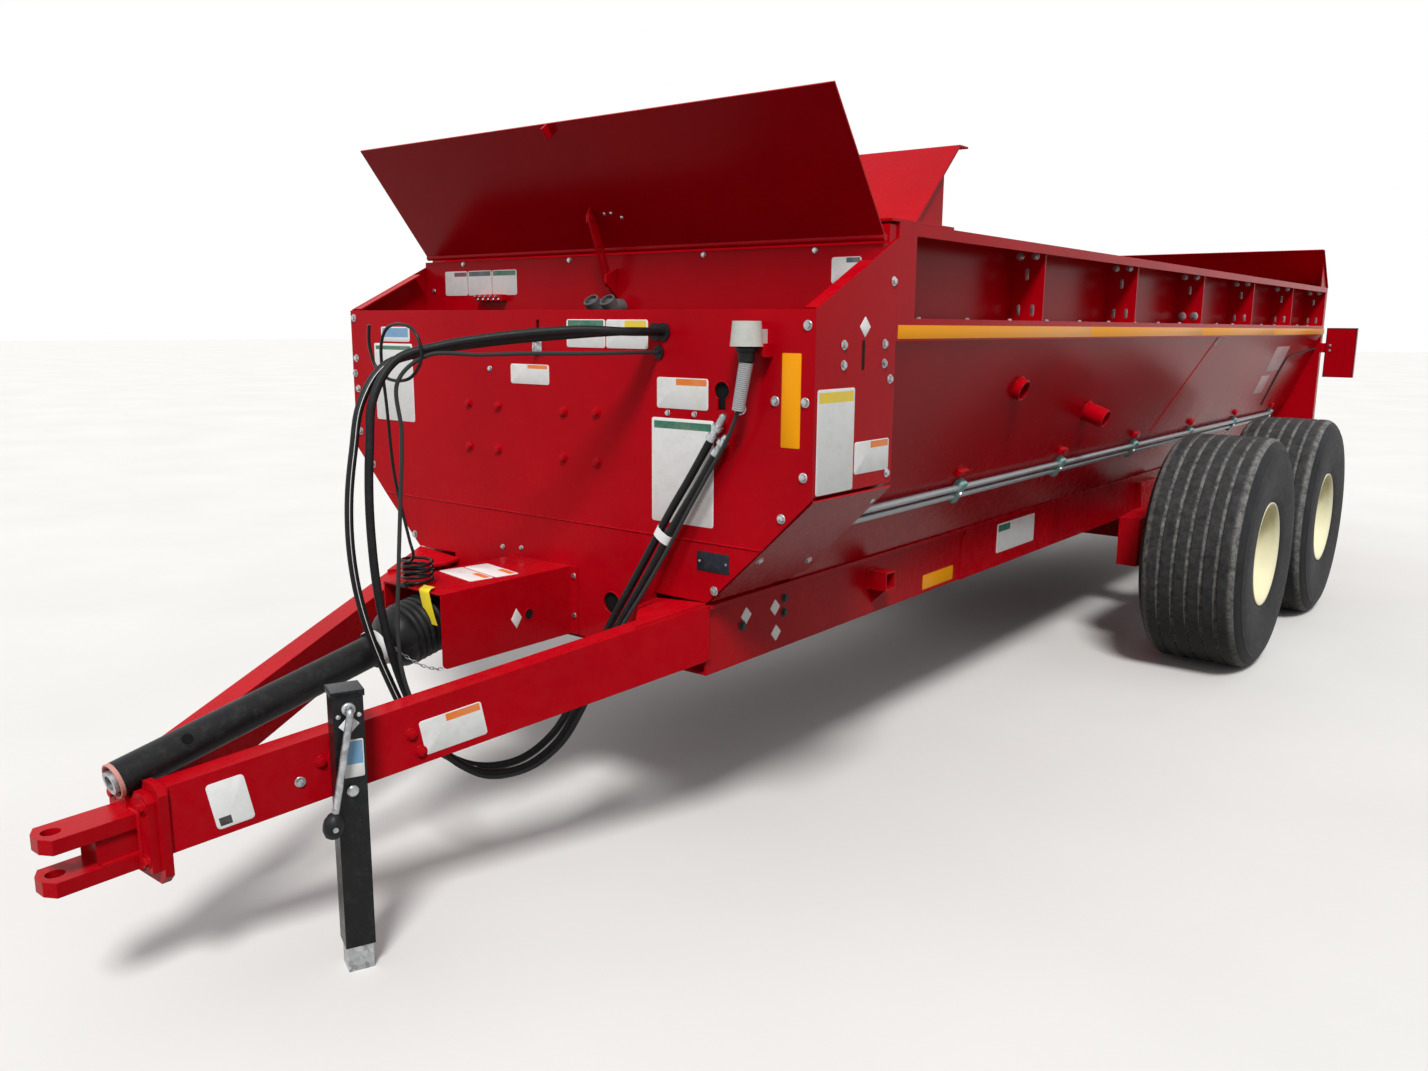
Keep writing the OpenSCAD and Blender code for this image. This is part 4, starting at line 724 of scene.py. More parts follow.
def lay_spline(data: bpy.types.Curve, path: Sequence[Point], smooth: bool = True,
               closed: bool = False) -> None:
    """Lays one smooth spline through a path, as the construction source does.

    Args:
        data: The curve that gets it.
        path: The places it passes.
        smooth: Whether it curves through them.
        closed: Whether its end joins its start.
    """
    n = len(path)
    spline = data.splines.new("BEZIER")
    spline.bezier_points.add(n - 1)
    spline.use_cyclic_u = closed
    for i, (point, place) in enumerate(zip(spline.bezier_points, path)):
        before = Vector(path[i - 1] if closed or i else place)
        after = Vector(path[(i + 1) % n] if closed or i < n - 1 else place)
        pull = (after - before) / 6 if smooth else Vector((0, 0, 0))
        point.co = place
        point.handle_left_type = point.handle_right_type = "FREE"
        point.handle_left = Vector(place) - pull
        point.handle_right = Vector(place) + pull


def set_down(piece: bpy.types.Object, name: str, finish: Finish | None, place: Matrix,
             body: str = "chassis", slot: str = "", smooth_deg: float = 35.0) -> bpy.types.Object:
    """Puts a finished drawing in its place, with its finish, on its body.

    Args:
        piece: The piece, drawn in mm.
        name: Its plain name.
        finish: Its finish, or None where its faces have theirs.
        place: The matrix of its place.
        body: The body that it rides on.
        slot: A material slot name; not used.
        smooth_deg: Angle under which its edges are shaded round.

    Returns:
        The piece.
    """
    piece.matrix_world = place @ piece.matrix_world
    take(piece)
    bpy.ops.object.transform_apply(location=True, rotation=True, scale=True)
    bpy.ops.object.shade_smooth_by_angle(angle=math.radians(smooth_deg))
    piece.name = piece.data.name = name
    if finish:
        piece.data.materials.clear()
        piece.data.materials.append(finish.material())
    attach(piece, body)
    slot = slot or (finish.slot if finish else "")
    log.info("piece %s on %s", name, body)
    return piece


def copies(model: bpy.types.Object, places: Sequence[Matrix]) -> bpy.types.Object:
    """Copies a model to many places, each copy with its own mesh, and joins them.

    Args:
        model: The piece that repeats; it is used up.
        places: The matrices of its places.

    Returns:
        The joined copies, unturned and unscaled.
    """
    made = []
    for place in places:
        one = model.copy()
        one.data = model.data.copy()
        bpy.context.collection.objects.link(one)
        one.matrix_world = place @ model.matrix_world
        made.append(one)
    bpy.data.objects.remove(model)
    select_none()
    for one in made:
        one.select_set(True)
    bpy.context.view_layer.objects.active = made[0]
    bpy.ops.object.transform_apply(location=True, rotation=True, scale=True)
    if len(made) > 1:
        bpy.ops.object.join()
    return bpy.context.view_layer.objects.active


def joined(pieces: Sequence[bpy.types.Object]) -> bpy.types.Object:
    """Joins drawings that are in the same frame into one."""
    select_none()
    for piece in pieces:
        piece.select_set(True)
    bpy.context.view_layer.objects.active = pieces[0]
    bpy.ops.object.transform_apply(location=True, rotation=True, scale=True)
    bpy.ops.object.join()
    return bpy.context.view_layer.objects.active


class Head(Enum):
    """Forms of a fastener's head."""

    HEX = "hexagon head on a washer"
    FLANGED = "hexagon head with a small flange"
    ROUND = "round carriage head"
    RIVET = "domed rivet"


@dataclass(frozen=True)
class Fasteners:
    """Bolt heads and rivets, modelled once for a row and copied along it."""

    head: Head
    size: float
    finish: Finish = Paints.zinc
    slot: str = ""

    def model(self) -> bpy.types.Object:
        """Models one head standing on its face.

        Returns:
            The head, in mm.
        """
        r = self.size
        if self.head in (Head.ROUND, Head.RIVET):
            tall = 0.55 if self.head is Head.ROUND else 0.7
            return turned([(0, -1), (r, -1), (r, 0.12 * r), (0.86 * r, 0.34 * r * tall / 0.55),
                           (0.55 * r, 0.48 * r * tall / 0.55), (0, 0.55 * r * tall / 0.55)], 20, closed=False)
        washer_r = 1.62 * r if self.head is Head.HEX else 1.3 * r
        washer = turned([(0, -1), (washer_r, -1), (washer_r, 0.16 * r), (0.94 * washer_r, 0.24 * r),
                         (0, 0.24 * r)], 24, closed=False)
        select_none()
        bpy.ops.mesh.primitive_cylinder_add(vertices=6, radius=1.12 * r, depth=0.72 * r,
                                            location=(0, 0, 0.56 * r), rotation=(0, 0, 0.3))
        hexagon = bpy.context.object
        bpy.ops.object.transform_apply(location=True, rotation=True, scale=True)
        pick(hexagon, "EDGE", lambda e: all(v.co.z > 0.8 * r for v in e.verts))
        bpy.ops.mesh.bevel(offset=0.12 * r, segments=2, affect="EDGES")
        bpy.ops.object.mode_set(mode="OBJECT")
        return joined([washer, hexagon])

    def set_row(self, name: str, places: Sequence[Matrix], body: str = "chassis") -> bpy.types.Object:
        """Sets copies of the head in a row of places.

        Args:
            name: The row's name.
            places: The matrices of the places.
            body: The body that they ride on.

        Returns:
            The row as one piece.
        """
        return set_down(copies(self.model(), places), name, self.finish, Matrix(), body, self.slot)


RED_BOLT = Fasteners(Head.HEX, 9.5, Paints.red)
ZINC_BOLT = Fasteners(Head.HEX, 7.5)
SMALL_BOLT = Fasteners(Head.FLANGED, 6)


@dataclass(frozen=True)
class Sign:
    """A blank sign of thin vinyl with rounded corners and coloured fields.

    x0, x1, y0 and y1 are its edges on the face in mm, and each field is a finish
    with its edges as shares of the sign's width and height.
    """

    name: str
    x0: float
    x1: float
    y0: float
    y1: float
    fields: tuple = ()
    base: Finish = Paints.white
    corner: float = 7.0
    turn: float = 0.0

    def build(self, face: Face, body: str = "chassis") -> bpy.types.Object:
        """Cuts the sign and sets it on a face.

        Args:
            face: The face that it is stuck on.
            body: The body that it rides on.

        Returns:
            The sign.
        """
        w, h = self.x1 - self.x0, self.y1 - self.y0
        sign = block(w, h, 1.4, self.corner, 0.3)
        sign.data.materials.append(self.base.material())
        for finish, left, right, low, high in self.fields:
            self.cut(sign, ((left - 0.5) * w, (right - 0.5) * w), ((low - 0.5) * h, (high - 0.5) * h))
            sign.data.materials.append(finish.material())
            for face_ in sign.data.polygons:
                x, y, _ = face_.center
                if (left - 0.5) * w < x < (right - 0.5) * w and (low - 0.5) * h < y < (high - 0.5) * h:
                    face_.material_index = len(sign.data.materials) - 1
        place = face.frame((self.x0 + self.x1) / 2, (self.y0 + self.y1) / 2, -0.3, self.turn)
        return set_down(sign, self.name, None, place, body)

    def cut(self, sign: bpy.types.Object, xs: Point, ys: Point) -> None:
        """Cuts a sign's mesh along the edges of one field."""
        half_w, half_h = (self.x1 - self.x0) / 2 - 0.5, (self.y1 - self.y0) / 2 - 0.5
        lines = [((x, 0, 0), (1, 0, 0)) for x in xs if abs(x) < half_w]
        lines += [((0, y, 0), (0, 1, 0)) for y in ys if abs(y) < half_h]
        for place, normal in lines:
            pick(sign, "FACE", lambda f: True)
            bpy.ops.mesh.bisect(plane_co=place, plane_no=normal)
        bpy.ops.object.mode_set(mode="OBJECT")


def header(finish: Finish, left: float = 0.04, right: float = 0.96, low: float = 0.8) -> tuple:
    """Gives a sign a coloured band along its top."""
    return ((finish, left, right, low, 0.97),)


def seen_rays(tree: bpy.types.NodeTree) -> bpy.types.NodeSocket:
    """Tells the rays that reach the eye straight, in reflections and through clear parts.

    Args:
        tree: The node tree that asks.

    Returns:
        A socket that is 1 on those rays and 0 on the others.
    """
    ray = add_node(tree, "LightPath")
    mirrored = add_node(tree, "Math",
                        {0: ray.outputs["Is Camera Ray"], 1: ray.outputs["Is Glossy Ray"]},
                        operation="MAXIMUM")
    return add_node(tree, "Math",
                    {0: mirrored.outputs[0], 1: ray.outputs["Is Transmission Ray"]},
                    operation="MAXIMUM").outputs[0]


@dataclass
class Surroundings:
    """The camera at the photograph's place, the pale floor and the soft light."""

    camera_at: tuple = (2.3419, -4.5211, 1.4395)
    yaw_deg: float = 38.04
    pitch_deg: float = 10.68
    roll_deg: float = 0.44
    focal_px: float = 1119.85
    frame_px: float = 1428.0
    sensor_mm: float = 36.0
    key_direction: tuple = (-0.42, 0.56, -0.88)
    key_strength: float = 2.9
    key_spread_deg: float = 14.0
    fill_direction: tuple = (0.7, 0.45, -0.5)
    fill_strength: float = 0.45
    fill_spread_deg: float = 60.0
    sky_strength: float = 0.52
    floor_m: float = 160.0
    floor_tones: tuple = ("#d9d7d3", "#dfddd9")
    yard_tone: str = "#4f483f"

    def build(self) -> None:
        """Builds the camera, the floor and the lights."""
        self.set_camera()
        self.lay_floor()
        self.light()

    def set_camera(self) -> None:
        """Sets the camera from its fitted place, yaw, pitch and roll."""
        yaw, pitch, roll = (math.radians(a) for a in (self.yaw_deg, self.pitch_deg, self.roll_deg))
        ahead = Vector((-math.sin(yaw) * math.cos(pitch), math.cos(yaw) * math.cos(pitch), -math.sin(pitch)))
        right = Vector((math.cos(yaw), math.sin(yaw), 0))
        up = right.cross(ahead)
        right_rolled = math.cos(roll) * right + math.sin(roll) * up
        up_rolled = -math.sin(roll) * right + math.cos(roll) * up
        lens = bpy.data.cameras.new("camera")
        lens.sensor_width = self.sensor_mm
        lens.lens = self.focal_px / self.frame_px * self.sensor_mm
        lens.clip_end = 200
        camera = bpy.data.objects.new("camera", lens)
        bpy.context.scene.collection.objects.link(camera)
        basis = Matrix((right_rolled, up_rolled, -ahead)).transposed().to_4x4()
        camera.matrix_world = Matrix.Translation(self.camera_at) @ basis
        bpy.context.scene.camera = camera

    def lay_floor(self) -> None:
        """Lays a wide pale floor at the wheels' height."""
        select_none()
        bpy.ops.mesh.primitive_plane_add(size=self.floor_m, location=(0, 0, 0))
        floor = bpy.context.object
        floor.name = "floor"
        paint = bpy.data.materials.new("pale_floor")
        paint.use_nodes = True
        tree = paint.node_tree
        bsdf = tree.nodes["Principled BSDF"]
        coord = add_node(tree, "TexCoord").outputs["Object"]
        cloud = add_node(tree, "TexNoise", {"Vector": coord, "Scale": 0.8, "Detail": 3.0})
        tone = add_node(tree, "ValToRGB", {"Fac": cloud.outputs["Fac"]})
        set_ramp(tone, zip((0.3, 0.7), self.floor_tones))
        # Pale for the eye and in reflections; the light that it throws back is a yard's
        seen = seen_rays(tree)
        pale = add_node(tree, "Mix", {0: seen, 6: linear(self.yard_tone), 7: tone.outputs[0]},
                        data_type="RGBA")
        tree.links.new(pale.outputs[2], bsdf.inputs["Base Color"])
        bsdf.inputs["Roughness"].default_value = 0.85
        floor.data.materials.append(paint)

    def light(self) -> None:
        """Sets a broad soft key from the front left, a weak fill and a pale surround."""
        for name, direction, strength, spread in (
            ("key", self.key_direction, self.key_strength, self.key_spread_deg),
            ("fill", self.fill_direction, self.fill_strength, self.fill_spread_deg),
        ):
            lamp = bpy.data.lights.new(name, "SUN")
            lamp.energy = strength
            lamp.angle = math.radians(spread)
            holder = bpy.data.objects.new(name, lamp)
            bpy.context.scene.collection.objects.link(holder)
            holder.rotation_euler = Vector(direction).to_track_quat("-Z", "Y").to_euler()
        world = bpy.data.worlds.new("studio")
        bpy.context.scene.world = world
        world.use_nodes = True
        tree = world.node_tree
        tree.nodes.clear()
        # A white backdrop for the eye and for reflections, softly graded light for the rest
        toward = add_node(tree, "TexCoord").outputs["Generated"]
        height = add_node(tree, "SeparateXYZ", {0: toward}).outputs["Z"]
        grade = add_node(tree, "MapRange", {0: height, 1: -0.2, 2: 0.9, 3: 0.55, 4: 1.25})
        strength = add_node(tree, "Math", {0: grade.outputs[0], 1: self.sky_strength}, operation="MULTIPLY")
        soft = add_node(tree, "Background", {"Color": linear("#f4f7fb"), "Strength": strength.outputs[0]})
        white = add_node(tree, "Background", {"Color": (1, 1, 1, 1), "Strength": 1.0})
        mix = add_node(tree, "MixShader", {0: seen_rays(tree), 1: soft.outputs[0], 2: white.outputs[0]})
        out = add_node(tree, "OutputWorld")
        tree.links.new(mix.outputs[0], out.inputs[0])
        bpy.context.scene.view_settings.view_transform = "Standard"


@dataclass
class Coats:
    """The finishes of the construction model's own pieces."""

    plain: tuple = (
        (Paints.black, ("jack_tube", "gate_cylinder")),
        (Paints.iron, ("gearbox",)),
        (Paints.guard, ("pto_guard", "cable_plug")),
        (Paints.rubber, ("hose_grommets",)),
        (Paints.zinc, ("jack_leg", "jack_crank", "coupler_tips", "pto_shaft")),
        (Paints.galvanised, ("oil_tubes",)),
        (Paints.cup, ("plug_cup",)),
        (Paints.rubbed, ("auger_left", "auger_right", "expeller", "trough")),
        (Paints.cream, ("rim_left_front", "rim_left_rear", "rim_right_front", "rim_right_rear")),
    )

    def build(self, nodes: dict) -> None:
        """Gives every piece of the frame its finish.

        Args:
            nodes: The frame's nodes by name.
        """
        named = {name: finish for finish, names in self.plain for name in names}
        for side, way in SIDES:
            for axle, y in AXLES:
                centre = tuple(at(way * WHEEL_X, y, WHEEL_Z))
                named[f"tyre_{side}_{axle}"] = TyreRubber(f"tyre_rubber_{side}_{axle}", centre=centre)
        for name, node in nodes.items():
            finish = named.get(name, Paints.red)
            node.data.materials.clear()
            node.data.materials.append(finish.material())
            log.info("node %s in %s", name, finish.name)


@dataclass
class Cords:
    """The two pressure hoses and the lamp cable along their routes, with what is on them; their real lengths are
    listed but not used.
    """

    hose_r: float = 10.5
    cable_r: float = 5.0
    feed: tuple = (
        (0.419, -2.318, 1.420), (0.402, -2.431, 1.420), (0.333, -2.522, 1.412), (0.256, -2.607, 1.402),
        (0.180, -2.693, 1.389), (0.106, -2.779, 1.371), (0.043, -2.869, 1.337), (0.040, -2.940, 1.250),
        (0.045, -2.971, 1.139), (0.046, -2.990, 1.026), (0.046, -2.993, 0.911), (0.048, -2.981, 0.796),
        (0.055, -2.956, 0.684), (0.065, -2.921, 0.575), (0.083, -2.881, 0.468), (0.126, -2.831, 0.375),
        (0.187, -2.753, 0.319), (0.232, -2.648, 0.314), (0.253, -2.546, 0.360), (0.277, -2.481, 0.451),
        (0.306, -2.440, 0.554), (0.342, -2.405, 0.658), (0.390, -2.380, 0.759), (0.443, -2.362, 0.861),
        (0.498, -2.351, 0.961), (0.559, -2.342, 1.058), (0.620, -2.337, 1.156),
    )
    back: tuple = (
        (0.445, -2.318, 1.420), (0.431, -2.430, 1.420), (0.365, -2.522, 1.424), (0.290, -2.607, 1.417),
        (0.216, -2.691, 1.404), (0.142, -2.776, 1.385), (0.077, -2.861, 1.351), (0.065, -2.923, 1.261),
        (0.070, -2.943, 1.149), (0.070, -2.951, 1.036), (0.071, -2.951, 0.923), (0.073, -2.944, 0.809),
        (0.079, -2.929, 0.697), (0.089, -2.906, 0.586), (0.108, -2.874, 0.479), (0.152, -2.836, 0.382),
        (0.217, -2.772, 0.317), (0.263, -2.671, 0.305), (0.282, -2.567, 0.342), (0.302, -2.497, 0.428),
        (0.330, -2.454, 0.529), (0.363, -2.417, 0.631), (0.410, -2.389, 0.731), (0.462, -2.369, 0.830),
        (0.516, -2.357, 0.929), (0.577, -2.347, 1.024), (0.637, -2.339, 1.120),
    )
    cable: tuple = (
        (0.430, -2.318, 1.368), (0.417, -2.434, 1.368), (0.355, -2.534, 1.366), (0.283, -2.628, 1.366),
        (0.209, -2.720, 1.363), (0.132, -2.809, 1.362), (0.087, -2.869, 1.297), (0.094, -2.868, 1.180),
        (0.095, -2.877, 1.062), (0.096, -2.888, 0.945), (0.099, -2.900, 0.827), (0.103, -2.911, 0.710),
        (0.111, -2.909, 0.592), (0.129, -2.881, 0.480), (0.176, -2.844, 0.379), (0.244, -2.777, 0.313),
        (0.290, -2.671, 0.308), (0.307, -2.563, 0.350), (0.329, -2.497, 0.443), (0.358, -2.458, 0.551),
        (0.399, -2.427, 0.657), (0.454, -2.401, 0.758), (0.509, -2.381, 0.860), (0.566, -2.370, 0.963),
        (0.627, -2.365, 1.063), (0.691, -2.364, 1.162), (0.724, -2.366, 1.232), (0.736, -2.365, 1.272),
    )
    feed_length: float = 2.993
    back_length: float = 2.949
    cable_length: float = 3.051
    band_at: int = 23
    plug_face: Face = Face(at(746, -50, 1413), X_AXIS, Y_AXIS)

    def build(self) -> None:
        line = self.lay_line("hose_lay_line", self.feed)
        feed = self.lay("feed_hose", self.feed, self.hose_r, Paints.rubber, "hose_feed")
        back = self.lay("return_hose", self.back, self.hose_r, Paints.rubber, "hose_return")
        cable = self.lay("lamp_cable", self.cable, self.cable_r, Paints.sheath, "cable_lights")
        tag = self.tag()
        relief = self.relief()
        self.plug()

    def lay(self, name: str, route: Sequence[Point], radius: float, finish: Finish, node: str) -> bpy.types.Object:
        """Lays one cord along its route.

        Args:
            name: The cord's name.
            route: Its points in metres.
            radius: Its radius, mm.
            finish: Its finish.
            node: The construction piece that it stands for.

        Returns:
            The cord, a curve of one open spline.
        """
        data = bpy.data.curves.new(name, "CURVE")
        data.dimensions = "3D"
        data.bevel_depth = radius * MM
        data.bevel_resolution = 4
        data.resolution_u = 10
        data.use_fill_caps = True
        lay_spline(data, route)
        data.materials.append(finish.material())
        cord = bpy.data.objects.new(name, data)
        bpy.context.collection.objects.link(cord)
        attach(cord, "chassis")
        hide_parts(node)
        log.info("cord %s", name)
        return cord

    def along(self, route: Sequence[Point], steps: int = 8) -> list[Vector]:
        """Gives places on the smooth curve through a route."""
        places = []
        for i in range(len(route) - 1):
            a, b, c, d = (Vector(route[min(max(j, 0), len(route) - 1)]) for j in (i - 1, i, i + 1, i + 2))
            for k in range(steps):
                t = k / steps
                places.append(0.5 * (2 * b + (c - a) * t + (2 * a - 5 * b + 4 * c - d) * t * t
                                     + (3 * b - a - 3 * c + d) * t ** 3))
        return places + [Vector(route[-1])]

    def lay_line(self, name: str, route: Sequence[Point], first: int = 44,
                 last: int = 130) -> bpy.types.Object:
        """Models the white line printed along the hose's cover, turning slowly round it.

        Args:
            name: The line's name.
            route: The hose's route.
            first: First place of the curve that shows it.
            last: Last place of it.

        Returns:
            The line, a thin raised thread.
        """
        places = self.along(route)
        side = Vector((0.6, -0.8, 0))
        thread = []
        for i in range(first, last):
            ahead = (places[i + 1] - places[i - 1]).normalized()
            side = (side - ahead * side.dot(ahead)).normalized()
            thread.append(tuple((places[i] + side * (self.hose_r - 0.2) * MM) / MM))
        line = bent_wire(thread[::2], 0.9)
        return set_down(line, name, Paints.white, IN_MM, smooth_deg=60)

    def tag(self) -> bpy.types.Object:
        """Models the white band round the hoses below their couplers."""
        i = 8 * self.band_at + 4
        place = self.along(self.feed)[i]
        near = min(self.along(self.back)[120:], key=lambda p: (p - place).length)
        ahead = (self.along(self.feed)[i + 1] - place).normalized()
        wide = (near - place) - ahead * (near - place).dot(ahead)
        half = wide.length / 2 / MM + self.hose_r + 1.5
        wide = wide.normalized()
        band = turned([(1, -13), (1.06, -13), (1.06, 13), (1, 13)], 28)
        basis = Matrix((wide * half, ahead.cross(wide) * (self.hose_r + 2), ahead)).transposed().to_4x4()
        where = Matrix.Translation((place + near) / 2) @ IN_MM @ basis
        return set_down(band, "hose_band", Paints.white, where, smooth_deg=60)

    def plug(self) -> bpy.types.Object:
        """Models the black plug that is parked in the pale cup."""
        body = turned([(0, -62), (17, -62), (20, -59), (21, -50), (21, -38), (25, -36), (25, -28), (22, -26),
                       (21, 0), (0, 0)], 40, closed=False)
        made = set_down(body, "parked_plug", Paints.guard, self.plug_face.frame(), slot="black_plastic")
        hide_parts("cable_plug")
        return made

    def relief(self) -> bpy.types.Object:
        """Models the grey ribbed spring that eases the cable into its plug."""
        top, foot = at(745.5, -50, 1352), at(725, -53, 1236)
        down = (foot - top).normalized()
        across = down.cross(Y_AXIS).normalized()
        long, ribs = (foot - top).length / MM, 24
        rib = long / ribs
        profile = [(9, 0)]
        for i in range(ribs):
            r = 17.5 - 2.2 * i / ribs
            profile += [(r - 1.6, rib * (i + 0.05)), (r, rib * (i + 0.3)), (r, rib * (i + 0.7)),
                        (r - 1.6, rib * (i + 0.95))]
        spring = turned(profile + [(9, long)], 32)
        place = Face(top, across, down.cross(across)).frame()
        return set_down(spring, "plug_spring", Paints.spring, place)


@dataclass
class FrontPanel:
    """Signs, bolts and small fittings of the front sheets and their side plates."""

    signs: tuple = (
        Sign("instruction_sign", -785, -590, 1128, 1372, header(Paints.green, low=0.92)),
        Sign("blue_sign", -745, -600, 1378, 1424, ((Paints.blue, 0.05, 0.95, 0.3, 0.92),)),
        Sign("notice_sign", 95, 240, 1375, 1450, header(Paints.green, low=0.74)),
        Sign("caution_sign", 244, 392, 1375, 1450, header(Paints.yellow, 0.45, 0.96, 0.74)),
        Sign("small_warning_sign", -136, 22, 1268, 1324, header(Paints.orange, 0.45, 0.96, 0.78)),
        Sign("warning_sign", 423, 592, 1226, 1305, header(Paints.orange, 0.38, 0.97, 0.76)),
        Sign("service_sign", 405, 611, 928, 1201, header(Paints.green, low=0.9)),
        Sign("serial_plate", 558, 663, 813, 865, (), Paints.foil, 3.0),
        Sign("front_amber_tape", 815, 869, 1150, 1374, (), Paints.amber, 3.0),
    )
    edge_bolts: tuple = ((885, 1439), (796, 1260), (882, 1260), (881, 1082), (820, 976), (615, 765))
    far_bolts: tuple = ((-890, 1451), (-895, 1272), (-886, 1321), (-883, 1222), (-881, 1082), (-820, 976),
                        (-615, 765))
    flush_bolts: tuple = ((-327, 1201), (-196, 1199), (78, 1197), (204, 1201), (-329, 1071), (-200, 1071),
                          (74, 1067), (205, 1065))
    small_bolts: tuple = ((459, 1214), (548, 1215), (-226, 1307), (-109, 785))
    side_bolts: tuple = ((125, 1393), (125, 1345), (320, 1394), (320, 1345), (352, 1305), (356, 1550),
                         (351, 1063))
    seam_x: float = 758.0
    seam_z: float = 889.0
    latch_slot: tuple = (216.0, 1368.0)

    def build(self) -> None:
        """Sets everything on the front sheets and side plates."""
        for sign in self.signs:
            sign.build(Faces.front)
        front = Faces.front
        ZINC_BOLT.set_row("front_edge_bolts",
                          [front.frame(x, z) for x, z in self.edge_bolts + self.far_bolts])
        RED_BOLT.set_row("front_flush_bolts",
                         [front.frame(x, z, 0, 20 * i) for i, (x, z) in enumerate(self.flush_bolts)])
        SMALL_BOLT.set_row("front_small_bolts", [front.frame(x, z) for x, z in self.small_bolts])
        Fasteners(Head.RIVET, 4).set_row(
            "serial_plate_rivets", [front.frame(x, 839, 0.8) for x in (568, 653)])
        self.hasp()
        self.seam()
        self.keyhole()
        self.cup_tab()
        self.service_hole()
        # Painted shade: black sheets behind the keyhole, the service hole and the latch hole
        self.painted_shade_hole("keyhole_painted_shade", 635, 1266, 62, 92, 8)
        self.painted_shade_hole("service_painted_shade", 254, 676, 74, 74, 30)
        self.painted_shade_hole("latch_painted_shade", -21, 1420, 24, 66, 4)
        self.side_plate(Faces.left, "left", 1)
        self.side_plate(Faces.right, "right", -1)

    def hasp(self) -> None:
        """Models the zinc staple that the flap's latch drops over."""
        base = block(34, 46, 3, 5)
        loop = bent_wire([(0, -14, 2), (0, -14, 16), (0, 14, 16), (0, 14, 2)], 3.2, smooth=True)
        set_down(joined([base, loop]), "latch_hasp", Paints.zinc, Faces.front.frame(-21, 1372))

    def seam(self) -> None:
        """Models the rolled edge where the lower sheet laps the upper one."""
        rim = bent_wire([(-self.seam_x, 0, 0), (self.seam_x, 0, 0)], 2.2, smooth=False)
        set_down(rim, "sheet_seam", Paints.red, Faces.front.frame(0, self.seam_z, 0.4))

    def keyhole(self) -> None:
        """Models the pressed rim round the keyhole that the couplers hang in."""
        round_part = [(24 * math.cos(a), 24 * math.sin(a)) for a in
                      (math.radians(-54 + 288 * k / 20) for k in range(21))]
        outline = [(14, -47)] + [(x, y) for x, y in round_part] + [(-14, -47)]
        path = [(x, y, 0) for x, y in outline]
        set_down(bent_wire(path, 1.8, smooth=False), "keyhole_rim", Paints.red,
                 Faces.front.frame(635, 1277), smooth_deg=50)

    def painted_shade_hole(self, name: str, x: float, z: float, w: float, h: float, corner: float) -> None:
        """Closes the view through a hole with a black sheet behind it: painted shade of the compartment."""
        back = block(w, h, 1, corner, 0.2)
        set_down(back, name, Paints.dark, Faces.front.frame(x, z, -8.5))

    def cup_tab(self) -> None:
        """Models the red tab and the zinc ring beside the parked plug."""
        tab = plate([(0, 0), (0, -6), (36, -34), (40, -32), (40, 0)], 34)
        set_down(tab, "plug_cup_tab", Paints.red, Faces.front.frame(748, 1396, 0.3))
        loop = bent_wire(circle(13, 16), 2.6, closed=True)
        place = Faces.front.frame(722, 1240, 40) @ Matrix.Rotation(math.radians(50), 4, "Y")
        set_down(loop, "cable_ring", Paints.zinc, place, smooth_deg=60)

    def service_hole(self) -> None:
        """Models the service hole's rolled rim."""
        rim = turned([(30, -1), (33, 0), (32.4, 1.6), (30.6, 1.8), (29.4, 0.6), (29.4, -3)], 36)
        set_down(rim, "service_hole_rim", Paints.red, Faces.front.frame(254, 676))

    def side_plate(self, face: Face, side: str, way: int) -> None:
        """Sets the bolts, the slot and, on the left, the signs of one side plate.

        Args:
            face: The plate's face.
            side: The side's name.
            way: 1 where the face's across runs rearwards, else -1.
        """
        ZINC_BOLT.set_row(f"side_bolts_{side}", [face.frame(way * y, z) for y, z in self.side_bolts])
        y, z = self.latch_slot
        # The latch slot is a black obround sheet on the plate: painted shade, not a cut
        slot = block(15, 76, 1.2, 7.4, 0.3)
        set_down(slot, f"latch_slot_{side}", Paints.dark, face.frame(way * y, z, -0.6))
        rim = [(7.5 * math.cos(a), 30.5 + 7.5 * math.sin(a), 0) for a in (math.pi * k / 8 for k in range(9))]
        rim += [(-x, -y, 0) for x, y, _ in rim]
        set_down(bent_wire(rim, 0.9, closed=True, smooth=False), f"latch_slot_rim_{side}", Paints.red,
                 face.frame(way * y, z), smooth_deg=60)
        if side == "left":
            Sign("side_caution_sign", 14, 181, 1038, 1290, header(Paints.yellow, low=0.87)).build(face)
            Sign("side_warning_sign", 188, 357, 1073, 1154,
                 header(Paints.orange, 0.45, 0.97, 0.76)).build(face)
            Sign("side_diamond", 203, 239, 1418, 1454, (), turn=45, corner=2).build(face)


